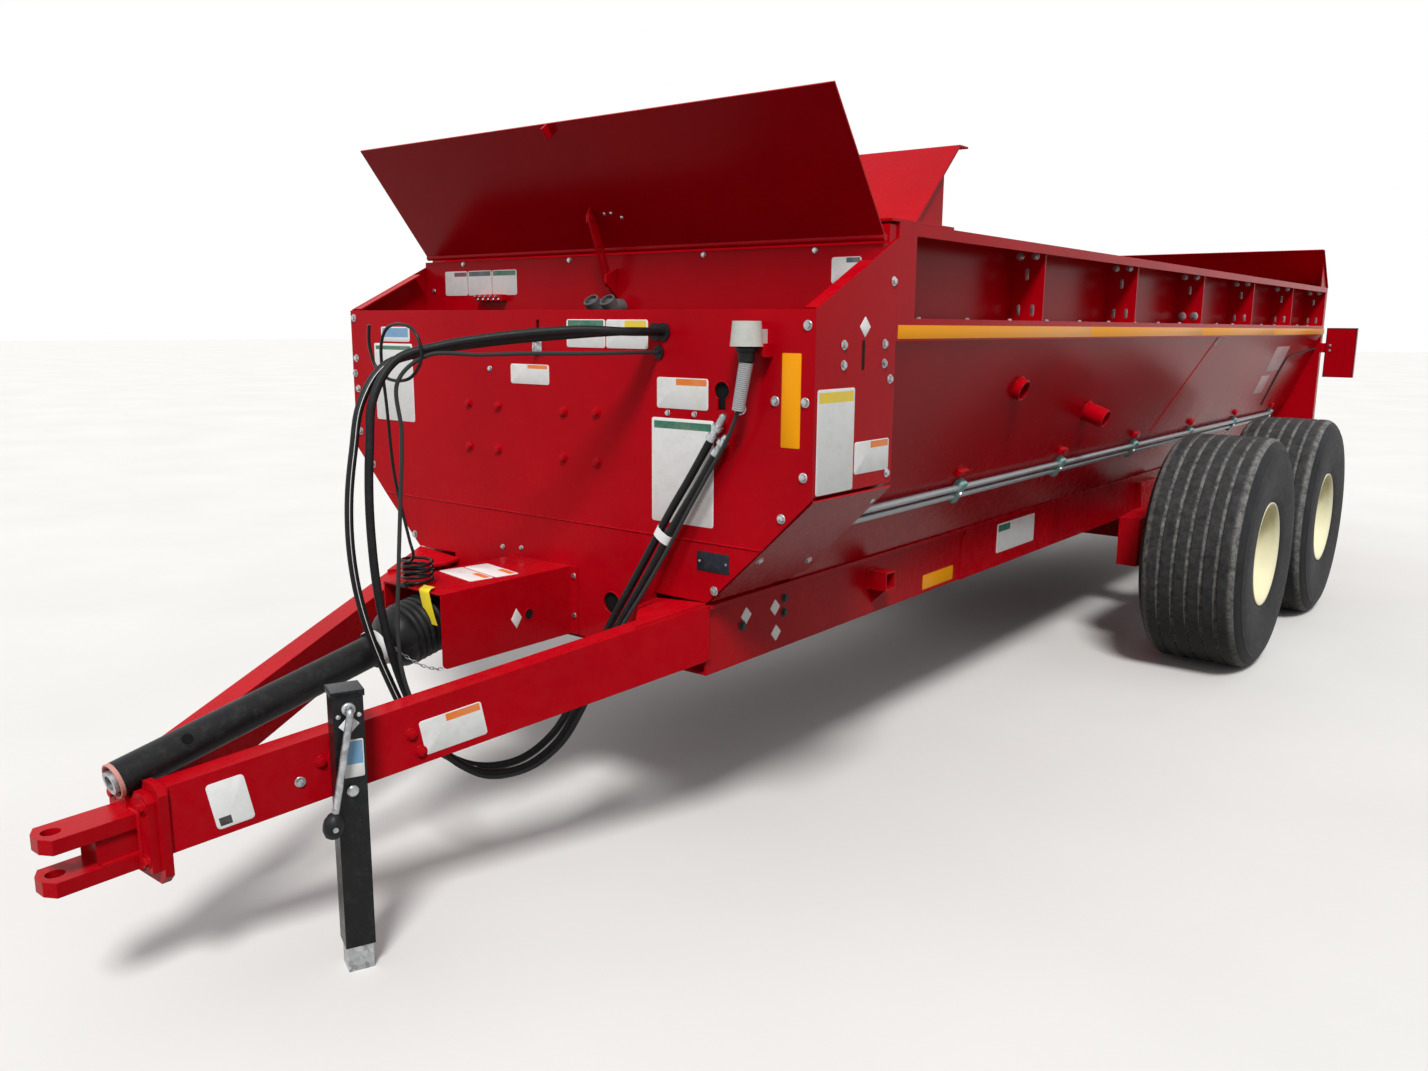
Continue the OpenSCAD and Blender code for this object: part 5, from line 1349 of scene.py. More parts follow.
@dataclass
class HoseHanger:
    """The sprung black rod that carries the hoses: a coil over its clamp, a leg and a ring."""

    coil_at: tuple = (-49.0, -420.0)
    coil_r: float = 39.0
    coil_z: float = 768.0
    coil_pitch: float = 15.0
    coil_turns: int = 4
    rod_r: float = 5.0
    rise: tuple = (
        (-20, -462, 833), (0, -468, 856), (-8, -474, 900), (-40, -486, 1060), (-28, -508, 1240),
        (-25, -518, 1327), (-21, -520, 1385), (3, -521, 1422), (47, -522, 1434), (99, -521, 1426),
        (128, -520, 1394), (131, -520, 1348), (92, -526, 1306), (26, -534, 1302), (-20, -540, 1332),
        (-38, -543, 1386), (-30, -546, 1432),
    )

    def build(self) -> None:
        """Bends the rod and sets its clamp on the hood."""
        steps = 20
        path = []
        for i in range(self.coil_turns * steps):
            angle = -math.pi / 2 + TAU * i / steps
            path.append((self.coil_at[0] + self.coil_r * math.cos(angle),
                         self.coil_at[1] + self.coil_r * math.sin(angle),
                         self.coil_z + self.coil_pitch * i / steps))
        rod = bent_wire([at(*p) / MM for p in path + list(self.rise)], self.rod_r - 0.8)
        set_down(rod, "hose_hanger_rod", Paints.black, IN_MM, smooth_deg=60)
        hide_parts("hose_hanger")
        x, y = self.coil_at[0], self.coil_at[1] - self.coil_r
        saddle = block(30, 28, 8, 3)
        screw = SMALL_BOLT.model()
        screw.location = (0, 0, 7)
        set_down(joined([saddle, screw]), "hose_hanger_clamp", Paints.black,
                 Faces.hood_top.frame(x, y, 0.2))


@dataclass
class Hood:
    """Signs, bolts, hole and tag of the shield over the power shaft's joint; the hole's inside is a black disc of
    painted shade.
    """

    flange_out: float = 4.0
    card_w: float = 44.0
    card_l: float = 128.0
    card_on_top: float = 34.0

    def build(self) -> None:
        """Dresses the hood."""
        for name, x, y in (("hood_sign_front", -42, -265), ("hood_sign_rear", -28, -187)):
            Sign(name, x - 85, x + 85, y - 37, y + 37, ((Paints.orange, 0.55, 0.95, 0.66, 0.92),),
                 turn=-10).build(Faces.hood_top)
        tall = plate([(-19, 0), (0, -28), (19, 0), (0, 28)], 1.2, 0.3)
        set_down(tall, "hood_diamond", Paints.white, Faces.hood_side.frame(-212, 648, -0.2))
        rim = turned([(14, -2), (18, -1), (17.4, 1.3), (14.6, 1.5)], 28)
        # The hole is a black disc on the hood's side: painted shade
        hole = turned([(0, 0), (14.6, 0), (14.6, 0.5), (0, 0.6)], 28, closed=False)
        set_down(rim, "hood_hole_rim", Paints.red, Faces.hood_side.frame(-166, 651))
        set_down(hole, "hood_hole", Paints.dark, Faces.hood_side.frame(-166, 651, 0.1))
        front = Faces.front
        places = [front.frame(x, z, self.flange_out) for x in (111, -153) for z in (733, 617)]
        SMALL_BOLT.set_row("hood_flange_bolts", places)
        SMALL_BOLT.set_row("hood_top_bolt", [front.frame(-192, 778)])
        self.tag()
        edge = bent_wire([at(-140, -462, 760) / MM, at(98, -462, 760) / MM], 1.6, smooth=False)
        set_down(edge, "hood_front_edge", Paints.red, IN_MM)

    def tag(self) -> None:
        """Models the yellow card that hangs over the hood's front edge, curled by the weather."""
        select_none()
        bpy.ops.mesh.primitive_grid_add(x_subdivisions=6, y_subdivisions=18, size=1)
        card = bpy.context.object
        for vertex in card.data.vertices:
            u, v = vertex.co.x * self.card_w, (0.5 - vertex.co.y) * self.card_l
            curl = 4 * math.sin(v / 22) * (u / self.card_w)
            fall = v - self.card_on_top
            if fall < 0:
                place = (18 + 0.5 * v + u, -434 - 0.86 * v, 767 + curl)
            else:
                place = (35 + 0.34 * fall + u * 0.9, -466.5 - 3 * math.sin(fall / 40), 764 - 0.9 * fall)
            vertex.co = Vector(place)
        take(card)
        solid = card.modifiers.new("thickness", "SOLIDIFY")
        solid.thickness = 0.9
        bpy.ops.object.modifier_apply(modifier=solid.name)
        for vertex in card.data.vertices:
            vertex.co = at(*vertex.co) / MM
        set_down(card, "yellow_tag", Paints.tag, IN_MM, smooth_deg=60)


@dataclass
class PowerShaft:
    """The guard of the power shaft: ribbed bell, collar with its band, long tube and end bearing."""

    length: float = 863.4
    tube_r: float = 40.0
    wall: float = 5.0
    bell_r: float = 82.0
    ribs: int = 6
    rib_pitch: float = 18.0
    hole_at: float = 704.0

    def build(self) -> None:
        """Turns the guard and dresses it."""
        outside = []
        for i in range(self.ribs):
            s = i * self.rib_pitch
            outside += [(self.bell_r - 6, s), (self.bell_r - 1.2, s + 4.5), (self.bell_r, s + 9),
                        (self.bell_r - 1.2, s + 13.5)]
        outside += [(76, 108), (79, 116), (78, 128), (72, 143), (63, 156), (54, 165), (49, 172), (48, 178),
                    (48, 203), (46.5, 204.5), (38, 204.5)]
        inside = [(38, 174), (48, 158), (70, 104), (70, 0)]
        bell = turned(outside + inside, 64)
        r, back, front = self.tube_r, 180.0, self.length - 9
        tube = turned([(r, back), (r, front), (r - self.wall, front), (r - self.wall, back)], 64)
        race = turned([(r - 1, 744), (r - 1, 757), (26.4, 757), (26.4, 744)], 48)
        guard = set_down(joined([bell, tube, race]), "shaft_guard", Paints.guard, Faces.pto.frame(),
                         slot="black_plastic", smooth_deg=40)
        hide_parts("pto_guard")
        end = turned([(r, self.length - 10), (r, self.length - 1), (r - 1, self.length), (r - 4, self.length),
                      (r - 5, self.length - 1), (r - 5, self.length - 10)], 64)
        set_down(end, "guard_end_ring", Paints.pink, Faces.pto.frame())
        band = turned([(48, 183), (49.2, 184), (49.2, 201), (48, 202)], 64)
        set_down(band, "guard_band", Paints.white, Faces.pto.frame())
        self.grease_hole()
        self.chain()

    def grease_hole(self) -> None:
        """Models the service hole in the guard's left side: a black disc of painted shade inside a rim."""
        hole = turned([(0, 0), (13, 0), (13, 0.6), (0, 0.6)], 28, closed=False)
        rim = turned([(12.6, -2), (15, -0.6), (14.4, 1), (12.6, 1.1)], 28)
        side = (X_AXIS * 0.78 + PTO_FORWARD.cross(X_AXIS) * 0.62).normalized()
        origin = Faces.pto.origin + PTO_FORWARD * self.hole_at * MM + side * (self.tube_r - 0.5) * MM
        face = Face(origin, PTO_FORWARD, side.cross(PTO_FORWARD))
        # The hole's inside is painted shade
        set_down(hole, "guard_hole", Paints.dark, face.frame())
        set_down(rim, "guard_hole_rim", Paints.guard, face.frame())

    def chain(self) -> None:
        """Models the small chain that keeps the guard from turning."""
        start, end, sag = at(28, -584, 664) / MM, at(92, -470, 566) / MM, 20.0
        link = bent_wire([(3.2 * x, 7 * y, 0) for x, y, _ in circle(1, 10)], 1.3, closed=True)
        places, n = [], 13
        for i in range(n + 1):
            t = i / n
            spot = start.lerp(end, t) - Z_AXIS * sag * 4 * t * (1 - t)
            ahead = ((end - start) - Z_AXIS * sag * 4 * (1 - 2 * t)).normalized()
            turn = Matrix.Rotation(math.radians(90 * (i % 2)), 4, "Y")
            places.append(IN_MM @ Matrix.Translation(spot)
                          @ ahead.to_track_quat("Y", "Z").to_matrix().to_4x4() @ turn)
        set_down(copies(link, places), "guard_chain", Paints.zinc, Matrix(), smooth_deg=60)


@dataclass
class Tongue:
    """Signs, bolts and weld beads of the tongue beams and the hitch."""

    beam_signs: tuple = (
        Sign("tongue_warning_sign", -777, -627, -130, -46, header(Paints.orange, 0.42, 0.97, 0.76)),
        Sign("tongue_label", -1236, -1158, -132, -26, ((Paints.ink, 0.1, 0.42, 0.06, 0.24),), corner=9),
    )
    beam_bolts: tuple = ((-1053, -89), (-798, -69), (-787, -117), (-1000, -60))
    plate_half: float = 46.0
    plate_edges: tuple = (303.0, 335.0, 394.0, 426.0)
    web_half: float = 38.0
    flange_bolts: tuple = ((67, 443), (67, 322), (-67, 443), (-67, 322))
    end_y: float = -1185.0
    end_x: float = 96.0

    def build(self) -> None:
        """Dresses the tongue."""
        for sign in self.beam_signs:
            sign.build(Faces.beam)
        RED_BOLT.set_row("tongue_bolts", [Faces.beam.frame(x, y) for x, y in self.beam_bolts[1:]]
                         + [Faces.beam_right.frame(-x, y) for x, y in self.beam_bolts[1:]])
        ZINC_BOLT.set_row("tongue_zinc_bolts", [Faces.beam.frame(*self.beam_bolts[0])])
        Fasteners(Head.HEX, 10, Paints.red).set_row(
            "hitch_bolts", [Faces.flange.frame(x, z, 0, 9 * i) for i, (x, z) in enumerate(self.flange_bolts)])
        self.hitch_welds()
        self.beam_welds()

    def hitch_welds(self) -> None:
        """Lays the beads that hold the hitch plates and their web."""
        low, low_top, high_low, high = self.plate_edges
        half, y = self.plate_half + 1, -1222.5
        loop = [(-half, y, low - 1), (-half, y, high + 1), (half, y, high + 1), (half, y, low - 1)]
        beads = [weld(loop + loop[:1], 5.5, 5)]
        for side in (-1, 1):
            for z in (low_top + 1, high_low - 1):
                x = side * (self.web_half + 1)
                beads.append(weld([(x, -1224, z), (x, -1300, z)], 4.5))
        set_down(joined(beads), "hitch_welds", Paints.red, IN_MM, smooth_deg=50)

    def beam_welds(self) -> None:
        """Lays the beads where the beams meet the front plate and the frame rails."""
        beads = []
        for side in (-1, 1):
            x = side * self.end_x
            beads.append(weld([(x, self.end_y + 2, z) for z in (338, 480)], 4.5))
            x = side * (RAIL_X + 1)
            beads.append(weld([(x, 4, z) for z in (576, 706)], 4.0))
            beads.append(weld([(side * (RAIL_X - inset), -2, 572) for inset in (6, 62)], 4.0))
        set_down(joined(beads), "beam_welds", Paints.red, IN_MM, smooth_deg=50)


@dataclass
class Jack:
    """The drop jack: cap, bent crank with its grip, rivets and stickers."""

    s: float = JACK_S
    out: float = 75.0
    pivot_z: float = 619.0
    arm: float = 234.0
    lean: float = 45.0
    rod_r: float = 8.0
    crank_out: float = 25.0
    body: str = "jack_swivel"

    def build(self) -> None:
        """Builds the jack's pieces on its swivelling body."""
        face = Faces.beam_level
        cap = block(71, 71, 14, 9, 5)
        set_down(cap, "jack_cap", Paints.cap, Faces.jack_top.frame(0, 0, 0.6), self.body, "black_paint")
        self.crank(face)
        Fasteners(Head.RIVET, 5.5).set_row(
            "jack_rivets", [face.frame(-self.s + dx, 603, self.out) for dx in (-22, 22)], self.body)
        outer = Face(face.frame(0, 0, self.out).translation, face.across, face.up)
        Sign("jack_diamond", -self.s - 17, -self.s + 17, 567, 597, turn=45, corner=2).build(outer, self.body)
        Sign("jack_sticker", -self.s - 16, -self.s + 28, 462, 548, ((Paints.blue, 0.05, 0.95, 0.35, 0.96),),
             corner=4).build(outer, self.body)
        pin = turned([(0, 0), (13, 0), (13, 6), (10, 9), (0, 9)], 24, closed=False)
        set_down(pin, "jack_pivot_cap", Paints.zinc, face.frame(-self.s, 432, self.out), self.body)

    def crank(self, face: Face) -> None:
        """Bends the crank's rod and turns its grip.

        Args:
            face: The level face of the left beam, whose outward side is the jack's.
        """
        far = self.out + self.crank_out
        run = math.hypot(self.arm, self.lean)
        along = Vector((-self.lean / run, -self.arm / run, 0))
        top, tip = Vector((-self.s, self.pivot_z, far)), Vector((-self.s, self.pivot_z, far)) + along * run
        path = [(-self.s, self.pivot_z, self.out + 0.4), (-self.s, self.pivot_z, far - 10),
                tuple(top + along * 2 - Vector((0, 0, 3))), tuple(top + along * 14), tuple(top + along * 60),
                tuple(top + along * 150), tuple(tip)]
        rod = bent_wire(path, self.rod_r)
        collar = turned([(8, 0), (15, 0), (15, 6), (12, 8), (8, 8)], 24)
        collar.location = (-self.s, self.pivot_z, self.out + 0.3)
        crank = set_down(joined([rod, collar]), "jack_crank_rod", Paints.zinc, face.frame(), self.body,
                         smooth_deg=60)
        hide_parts("jack_crank")
        grip = turned([(0, -14), (9, -13), (15, -8), (22, 5), (23, 16), (22, 27), (14, 41), (6, 45), (0, 45)],
                      28, closed=False)
        grip.rotation_euler = along.to_track_quat("Z", "Y").to_euler()
        grip.location = tip
        screw = turned([(0, 0), (6, 0), (6, 4), (4, 5), (0, 5)], 16, closed=False)
        set_down(joined([grip]), "jack_grip", Paints.guard, face.frame(), self.body, "black_plastic", 40)
        set_down(screw, "jack_grip_pin", Paints.zinc,
                 face.frame(tip.x + along.x * 16, tip.y + along.y * 16, far + 21), self.body)


@dataclass
class FrontWall:
    """Signs, grease bank and tube ends of the wall behind the drive compartment."""

    signs: tuple = (
        Sign("danger_sign", -797, -682, 1528, 1608, ((Paints.maroon, 0.42, 0.97, 0.78, 0.95),)),
        Sign("chart_sign", -679, -561, 1528, 1608, header(Paints.slate, low=0.78)),
        Sign("important_sign", -558, -440, 1528, 1608, header(Paints.green, low=0.78)),
        Sign("wall_warning_sign", 752, 840, 1545, 1611, header(Paints.slate, 0.5, 0.96, 0.78)),
    )
    bank_at: tuple = (-553.0, 1509.0)
    nipples: int = 5
    bolts: tuple = ((-860, 1545), (-700, 1630), (-200, 1630), (330, 1630), (700, 1630))
    tube_x: tuple = (-51.0, 15.0)
    tube_z: float = 1488.0

    def build(self) -> None:
        """Dresses the wall."""
        for sign in self.signs:
            sign.build(Faces.wall)
        x, z = self.bank_at
        bank = block(130, 22, 24, 3)
        set_down(bank, "grease_bank", Paints.red, Faces.wall.frame(x, z + 10))
        nipple = turned([(0, 0), (5, 0), (5, 4), (3, 6), (3, 12), (4.2, 15), (3.4, 19), (0, 20)], 16,
                        closed=False)
        places = [Faces.wall.frame(x + (i - 2) * 25, z + 4, 24) @ Matrix.Rotation(math.radians(-40), 4, "X")
                  for i in range(self.nipples)]
        set_down(copies(nipple, places), "grease_nipples", Paints.zinc, Matrix())
        SMALL_BOLT.set_row("wall_bolts", [Faces.wall.frame(px, pz) for px, pz in self.bolts])
        elbow = turned([(24, 0), (24, 26), (22.5, 28), (19, 28), (19, 3), (0, 3)], 32, closed=False)
        # A black disc in each tube's mouth: painted shade inside the tube
        painted_shade_hole = turned([(0, 3.4), (19, 3.4), (19, 4), (0, 4)], 32, closed=False)
        tilt = Matrix.Rotation(math.radians(-50), 4, "X")
        spots = [Faces.wall.frame(px, self.tube_z, 44) @ tilt for px in self.tube_x]
        sleeve = turned([(24, -4), (24, 50), (20, 56), (0, 58)], 32, closed=False)
        sleeves = copies(sleeve, [Faces.wall.frame(px, self.tube_z) for px in self.tube_x])
        set_down(sleeves, "breather_sleeves", Paints.elbow, Matrix())
        set_down(copies(elbow, spots), "breather_tubes", Paints.elbow, Matrix())
        set_down(copies(painted_shade_hole, spots), "breather_painted_shade", Paints.dark, Matrix())
        self.stay_fittings()

    def stay_fittings(self) -> None:
        """Sets the bolts at both ends of the flap's stay."""
        side = Face(at(-10, 0, 0), -Y_AXIS, Z_AXIS)
        bolt = Fasteners(Head.HEX, 7)
        bolt.set_row("stay_foot_bolt", [side.frame(-270, 1572, 0.5)], "stay")
        bolt.set_row("stay_top_bolt", [side.frame(-208, 1736, 7.4)], "flap")


@dataclass
class Flap:
    """Hems, latch and bolts of the hinged front flap."""

    half_w: float = 893.0
    length: float = 410.0
    half_t: float = 2.5
    latch_x: float = -38.0

    def build(self) -> None:
        """Dresses the flap on its own body."""
        face, reach, top = Faces.flap, self.half_w - 2.6, self.length - 2.6
        edge = [(-reach, 12, 0), (-reach, top, 0), (reach, top, 0), (reach, 12, 0)]
        hem = bent_wire(edge, 2.6, smooth=False)
        set_down(hem, "flap_hem", Paints.red, face.frame(), "flap")
        Fasteners(Head.ROUND, 5.5).set_row(
            "flap_stay_bolts", [face.frame(x, y, self.half_t) for x, y in ((12, 122), (38, 122), (71, 106))],
            "flap")
        back = Face(face.frame(0, 0, -self.half_t).translation, -X_AXIS, face.up)
        base = block(44, 30, 3, 3)
        grip = block(26, 22, 15, 4, 2)
        grip.location = (0, 2, 2)
        place = back.frame(-self.latch_x, self.length - 27)
        set_down(joined([base, grip]), "flap_latch", Paints.guard, place, "flap", "black_plastic")


@dataclass
class TankSides:
    """Tapes, bracket plates, bolts, seams and fittings of both sides of the tank."""

    first_y: float = 1360.0
    pitch: float = 916.0
    stations: int = 6
    board_x: float = 779.0
    low_z: float = 1458.0
    bracket_t: float = 8.0
    bracket_mid: float = 59.0
    slot_z: tuple = (1492.0, 1606.0)
    washer_z: float = 1490.0
    bolt_z: float = 1664.0
    tape: tuple = (385.0, 5990.0, 1406.0, 1441.0)
    tape_lengths: int = 4
    wire_spots: tuple = ((5985, 1318), (5800, 1310), (5560, 1296), (5330, 1282), (5240, 1262), (5215, 1200),
                         (5205, 1080), (5200, 985))
    clamp_y: float = 1150.0
    clamp_pitch: float = 870.0
    clamp_u: float = 221.3

    def build(self) -> None:
        """Dresses both sides."""
        for side, way in SIDES:
            self.brackets(side, way)
            self.tapes(side, Faces.left if way > 0 else Faces.right, way)
            self.seam(side, way)
            self.lamp_wire(side, way)
        self.lifting_fittings()
        self.clamps()

    def brackets(self, side: str, way: int) -> None:
        """Sets the bolts and slots of the bracket plates along one board.

        Args:
            side: The side's name.
            way: 1 on the left, -1 on the right.
        """
        spots = [way * (self.first_y + i * self.pitch - self.bracket_t) for i in range(self.stations)]
        faces = [Face(at(0, way * y, 0), X_AXIS, Z_AXIS) for y in spots]
        middle = way * (self.board_x + self.bracket_mid)
        low, high = self.slot_z
        slot = block(13, 38, 0.9, 6.3, 0.2)
        marks = [f.frame(middle + dx, low, -0.1) for f in faces for dx in (-24, 24)]
        marks += [f.frame(middle, high, -0.1) for f in faces]
        set_down(copies(slot, marks), f"bracket_slots_{side}", Paints.zinc, Matrix())
        Fasteners(Head.HEX, 8.5).set_row(
            f"bracket_bolts_{side}", [f.frame(middle + dx, self.bolt_z) for f in faces for dx in (-26, 26)])
        washer = turned([(0, 0), (19, 0), (19, 3), (17, 4), (8, 4), (8, 9), (0, 9)], 28, closed=False)
        third = [faces[2].frame(middle + dx, self.washer_z) for dx in (-26, 26)]
        set_down(copies(washer, third), f"bracket_washers_{side}", Paints.zinc, Matrix())
        shelf = Face(at(way * (self.board_x + 60), 0, self.low_z), Y_AXIS, -X_AXIS)
        rows = [shelf.frame(y, 0) for y in range(620, 5900, 305)
                if all(abs(y - way * s) > 40 for s in spots)]
        SMALL_BOLT.set_row(f"shelf_bolts_{side}", rows)

    def tapes(self, side: str, face: Face, way: int) -> None:
        """Sticks the amber tape along the shelf's lip, in a few lengths."""
        y0, y1, z0, z1 = self.tape
        step = (y1 - y0) / self.tape_lengths
        strip = block(step - 1.5, z1 - z0, 1.0, 0, 0.2)
        places = [face.frame(way * (y0 + step * (i + 0.5)), (z0 + z1) / 2, -0.2)
                  for i in range(self.tape_lengths)]
        set_down(copies(strip, places), f"amber_tape_{side}", Paints.amber, Matrix())

    def on_side(self, way: int, y: float, z: float, out: float = 0.0) -> Vector:
        """Gives a place on the V side at a height, in metres."""
        x = KNEE_X + V_RUN * (z - KNEE_Z) / V_RISE
        return at(way * (x + V_OUT_X * out), y, z + V_OUT_Z * out)

    def seam(self, side: str, way: int) -> None:
        """Lays the lapped seam that runs slanting down the V side."""
        ends = [self.on_side(way, 3477, 1396, 0.4) / MM, self.on_side(way, 3105, 962, 0.4) / MM]
        set_down(bent_wire(ends, 2.4, smooth=False), f"tank_seam_{side}", Paints.red, IN_MM,
                 slot="red_paint", smooth_deg=60)

    def lamp_wire(self, side: str, way: int) -> None:
        """Clips the lamps' wire along the V side's rear end."""
        wire = bent_wire([self.on_side(way, y, z, 4.2) / MM for y, z in self.wire_spots], 4.0)
        set_down(wire, f"lamp_wire_{side}", Paints.sheath, IN_MM, smooth_deg=60)

    def lifting_fittings(self) -> None:
        """Models the two lifting tubes and the marks on the left side."""
        normal = Vector((V_OUT_X, 0, V_OUT_Z))
        for name, y, z, long in (("side_tube", 1321, 1241, 26), ("side_socket", 2095, 1123, 84)):
            ring = Face(self.on_side(1, y, z), Y_AXIS, normal.cross(Y_AXIS))
            tube = turned([(36, -2), (37, 0), (37, long - 2), (35.5, long), (31, long), (29.5, long - 2),
                           (29.5, -2)], 40)
            set_down(tube, name, Paints.red, ring.frame())
            foot = circle(38.5, 48, 0.5)
            bead = bent_wire(foot + foot[:1], 3.4, swell=0.12, every=5)
            set_down(bead, f"{name}_weld", Paints.red, ring.frame(), smooth_deg=60)
            # A black disc at the bottom of each tube: painted shade inside it
            painted_shade_pit = block(58, 58, 1, 28.5, 0.2)
            set_down(painted_shade_pit, f"{name}_dark", Paints.dark, ring.frame(0, 0, 0.2))
        mark = block(74, 16, 0.8, 2, 0.2)
        face = Face(self.on_side(1, 3510, 1376), Y_AXIS, normal.cross(Y_AXIS))
        set_down(mark, "teal_mark", Paints.clamp, face.frame(0, 0, 0, 38))
        for name, y, z, w, h in (("faded_sign_upper", 5010, 1268, 330, 150),
                                 ("faded_sign_lower", 4930, 1120, 200, 110)):
            where = Face(self.on_side(1, y, z), Y_AXIS, normal.cross(Y_AXIS))
            Sign(name, -w / 2, w / 2, -h / 2, h / 2, (), Paints.rose).build(where)

    def clamps(self) -> None:
        """Covers the oil tubes' clamps, each with its bolt and the red lug above it."""
        face = Faces.slant
        spots = [self.clamp_y + 15 + i * self.clamp_pitch for i in range(self.stations)]
        shell = block(46, 82, 28, 8, 5)
        set_down(copies(shell, [face.frame(y, self.clamp_u) for y in spots]), "tube_clamps", Paints.clamp,
                 Matrix())
        Fasteners(Head.HEX, 7).set_row(
            "tube_clamp_bolts", [face.frame(y, self.clamp_u, 27.5) for y in spots])
        lug = block(60, 26, 16, 5, 3)
        up = Vector((-V_OUT_Z, 0, V_OUT_X))
        places = [Face(self.on_side(1, y - 20, 972), Y_AXIS, up).frame() for y in spots]
        set_down(copies(lug, places), "tube_clamp_lugs", Paints.red, Matrix())


@dataclass
class Rails:
    """Reflectors, signs, bolts and welds of the frame rails and lower covers."""

    bolts: tuple = ((363, 674), (362, 632), (162, 634))
    diamonds: tuple = ((180, 659), (317, 655), (323, 580))
    cover_bolts: tuple = ((352, 60), (352, 330), (40, 250))
    stub_y: float = 860.0
    stub_z: float = 645.0

    def build(self) -> None:
        """Dresses the rails on both sides."""
        for name, y0, y1, face in (("rail_reflector", 1205, 1434, Faces.rail_front),
                                   ("rail_reflector_right", -1434, -1205, Faces.rail_front_right)):
            Sign(name, y0, y1, 542, 593, (), Paints.amber, 3.0).build(face)
        Sign("rail_sign", 1790, 2150, 580, 693, ((Paints.green, 0.03, 0.33, 0.72, 0.95),)).build(Faces.rail)
        for i, (y, z) in enumerate(self.diamonds):
            Sign(f"rail_diamond_{i}", y - 17, y + 17, z - 17, z + 17, turn=45,
                 corner=2).build(Faces.rail_front)
        dark = Fasteners(Head.HEX, 9, Paints.iron, "red_paint")
        dark.set_row("rail_bolts_left", [Faces.rail_front.frame(y, z) for y, z in self.bolts])
        dark.set_row("rail_bolts_right", [Faces.rail_front_right.frame(-y, z) for y, z in self.bolts])
        for (side, way), cover in zip(SIDES, (Faces.lower_cover, Faces.lower_cover_right)):
            ZINC_BOLT.set_row(f"cover_bolts_{side}", [cover.frame(way * y, -d) for y, d in self.cover_bolts])
        beads = []
        for way in (1, -1):
            x, y, z = way * (RAIL_X - 4.5), self.stub_y, self.stub_z
            square = [(x, y + dy, z + dz) for dy, dz in ((-31, -31), (31, -31), (31, 31), (-31, 31))]
            beads.append(weld(square + square[:1], 3.6, 4))
        set_down(joined(beads), "stub_welds", Paints.red, IN_MM, smooth_deg=60)


@dataclass
class Wheels:
    """The four wheels: ribbed implement tyres on deep cream rims with hub, nuts and valve."""

    tread_r: float = 494.0
    grooves: tuple = (112.0, 56.0, 0.0, -56.0, -112.0)
    groove_w: float = 16.0
    groove_d: float = 11.0
    wall: tuple = ((205.2, 173.6), (212.3, 177.6), (222.4, 182.6), (226, 188), (240, 194), (275, 199.5),
                   (315, 204), (350, 207), (385, 208), (410, 207), (430, 204), (441, 201.5), (444, 202.5),
                   (448, 199), (462, 194), (474, 186), (482, 178), (488.5, 169), (492, 160), (493.6, 151),
                   (494, 143))
    nuts: int = 8
    nut_circle: float = 72.0
    steps: int = 120

    def build(self) -> None:
        """Turns the tyres and rims and sets them on their bodies."""
        for side, way in SIDES:
            for axle, y in AXLES:
                hub = Face(at(way * WHEEL_X, y, WHEEL_Z), way * Y_AXIS, Z_AXIS)
                body = f"wheel_{side}_{axle}"
                self.tyre(hub, f"{side}_{axle}", body)
                self.rim(hub, f"{side}_{axle}", body)

    def tyre(self, hub: Face, name: str, body: str) -> None:
        """Turns one tyre with its rounded grooves.

        Args:
            hub: The wheel's middle plane.
            name: The wheel's name.
            body: The body that it rides on.
        """
        r, half_w, d = self.tread_r, self.groove_w / 2, self.groove_d
        tread = []
        for g in self.grooves:
            tread += [(r, g + half_w + 1.6), (r - 1.3, g + half_w), (r - d + 2, g + half_w - 1.2),
                      (r - d, g + half_w - 3.2), (r - d, g - half_w + 3.2), (r - d + 2, g - half_w + 1.2),
                      (r - 1.3, g - half_w), (r, g - half_w - 1.6)]
        profile = list(self.wall) + tread + [(p, -z) for p, z in reversed(self.wall)]
        made = set_down(turned(profile, self.steps), f"ribbed_tyre_{name}",
                        TyreRubber(f"tyre_rubber_{name}", centre=tuple(hub.origin)), hub.frame(), body,
                        smooth_deg=32)
        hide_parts(f"tyre_{name}")

    def rim(self, hub: Face, name: str, body: str) -> None:
        """Turns one rim with its disc and hub, and sets its nuts and valve."""
        barrel = [(222, 190), (222.5, 186), (221, 183), (212, 178), (205, 173), (205, 120), (200, 112),
                  (188, 95)]
        inner = [(181, 97), (193, 115), (198, 123), (198, 172), (204, 181), (211, 187), (214, 190),
                 (218, 191)]
        profile = barrel + [(r, -z) for r, z in reversed(barrel)]
        profile += [(r, -z) for r, z in reversed(inner[:-1])] + inner
        disc = turned([(88, 26), (120, 34), (160, 50), (185, 60), (185, 69), (158, 59), (120, 44),
                       (88, 36)], 72)
        middle = turned([(0, 120), (30, 119.5), (46, 114), (51, 106), (52, 96), (52, 50), (56, 46),
                         (86, 45.5), (92, 41), (92, 20), (92, -166), (88, -170), (0, -170)], 48, closed=False)
        made = set_down(joined([turned(profile, 96), disc, middle]), f"dished_rim_{name}", Paints.cream,
                        hub.frame(), body, smooth_deg=38)
        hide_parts(f"rim_{name}")
        nut = Fasteners(Head.HEX, 9.5)
        spots = [hub.frame(*place) for place in circle(self.nut_circle, self.nuts, 45.5)]
        nut.set_row(f"wheel_nuts_{name}", spots, body)
        valve = bent_wire([(0, 190, 116), (0, 180, 128), (0, 172, 142), (0, 168, 158)], 4.2)
        set_down(valve, f"valve_{name}", Paints.sheath, hub.frame(), body, smooth_deg=60)


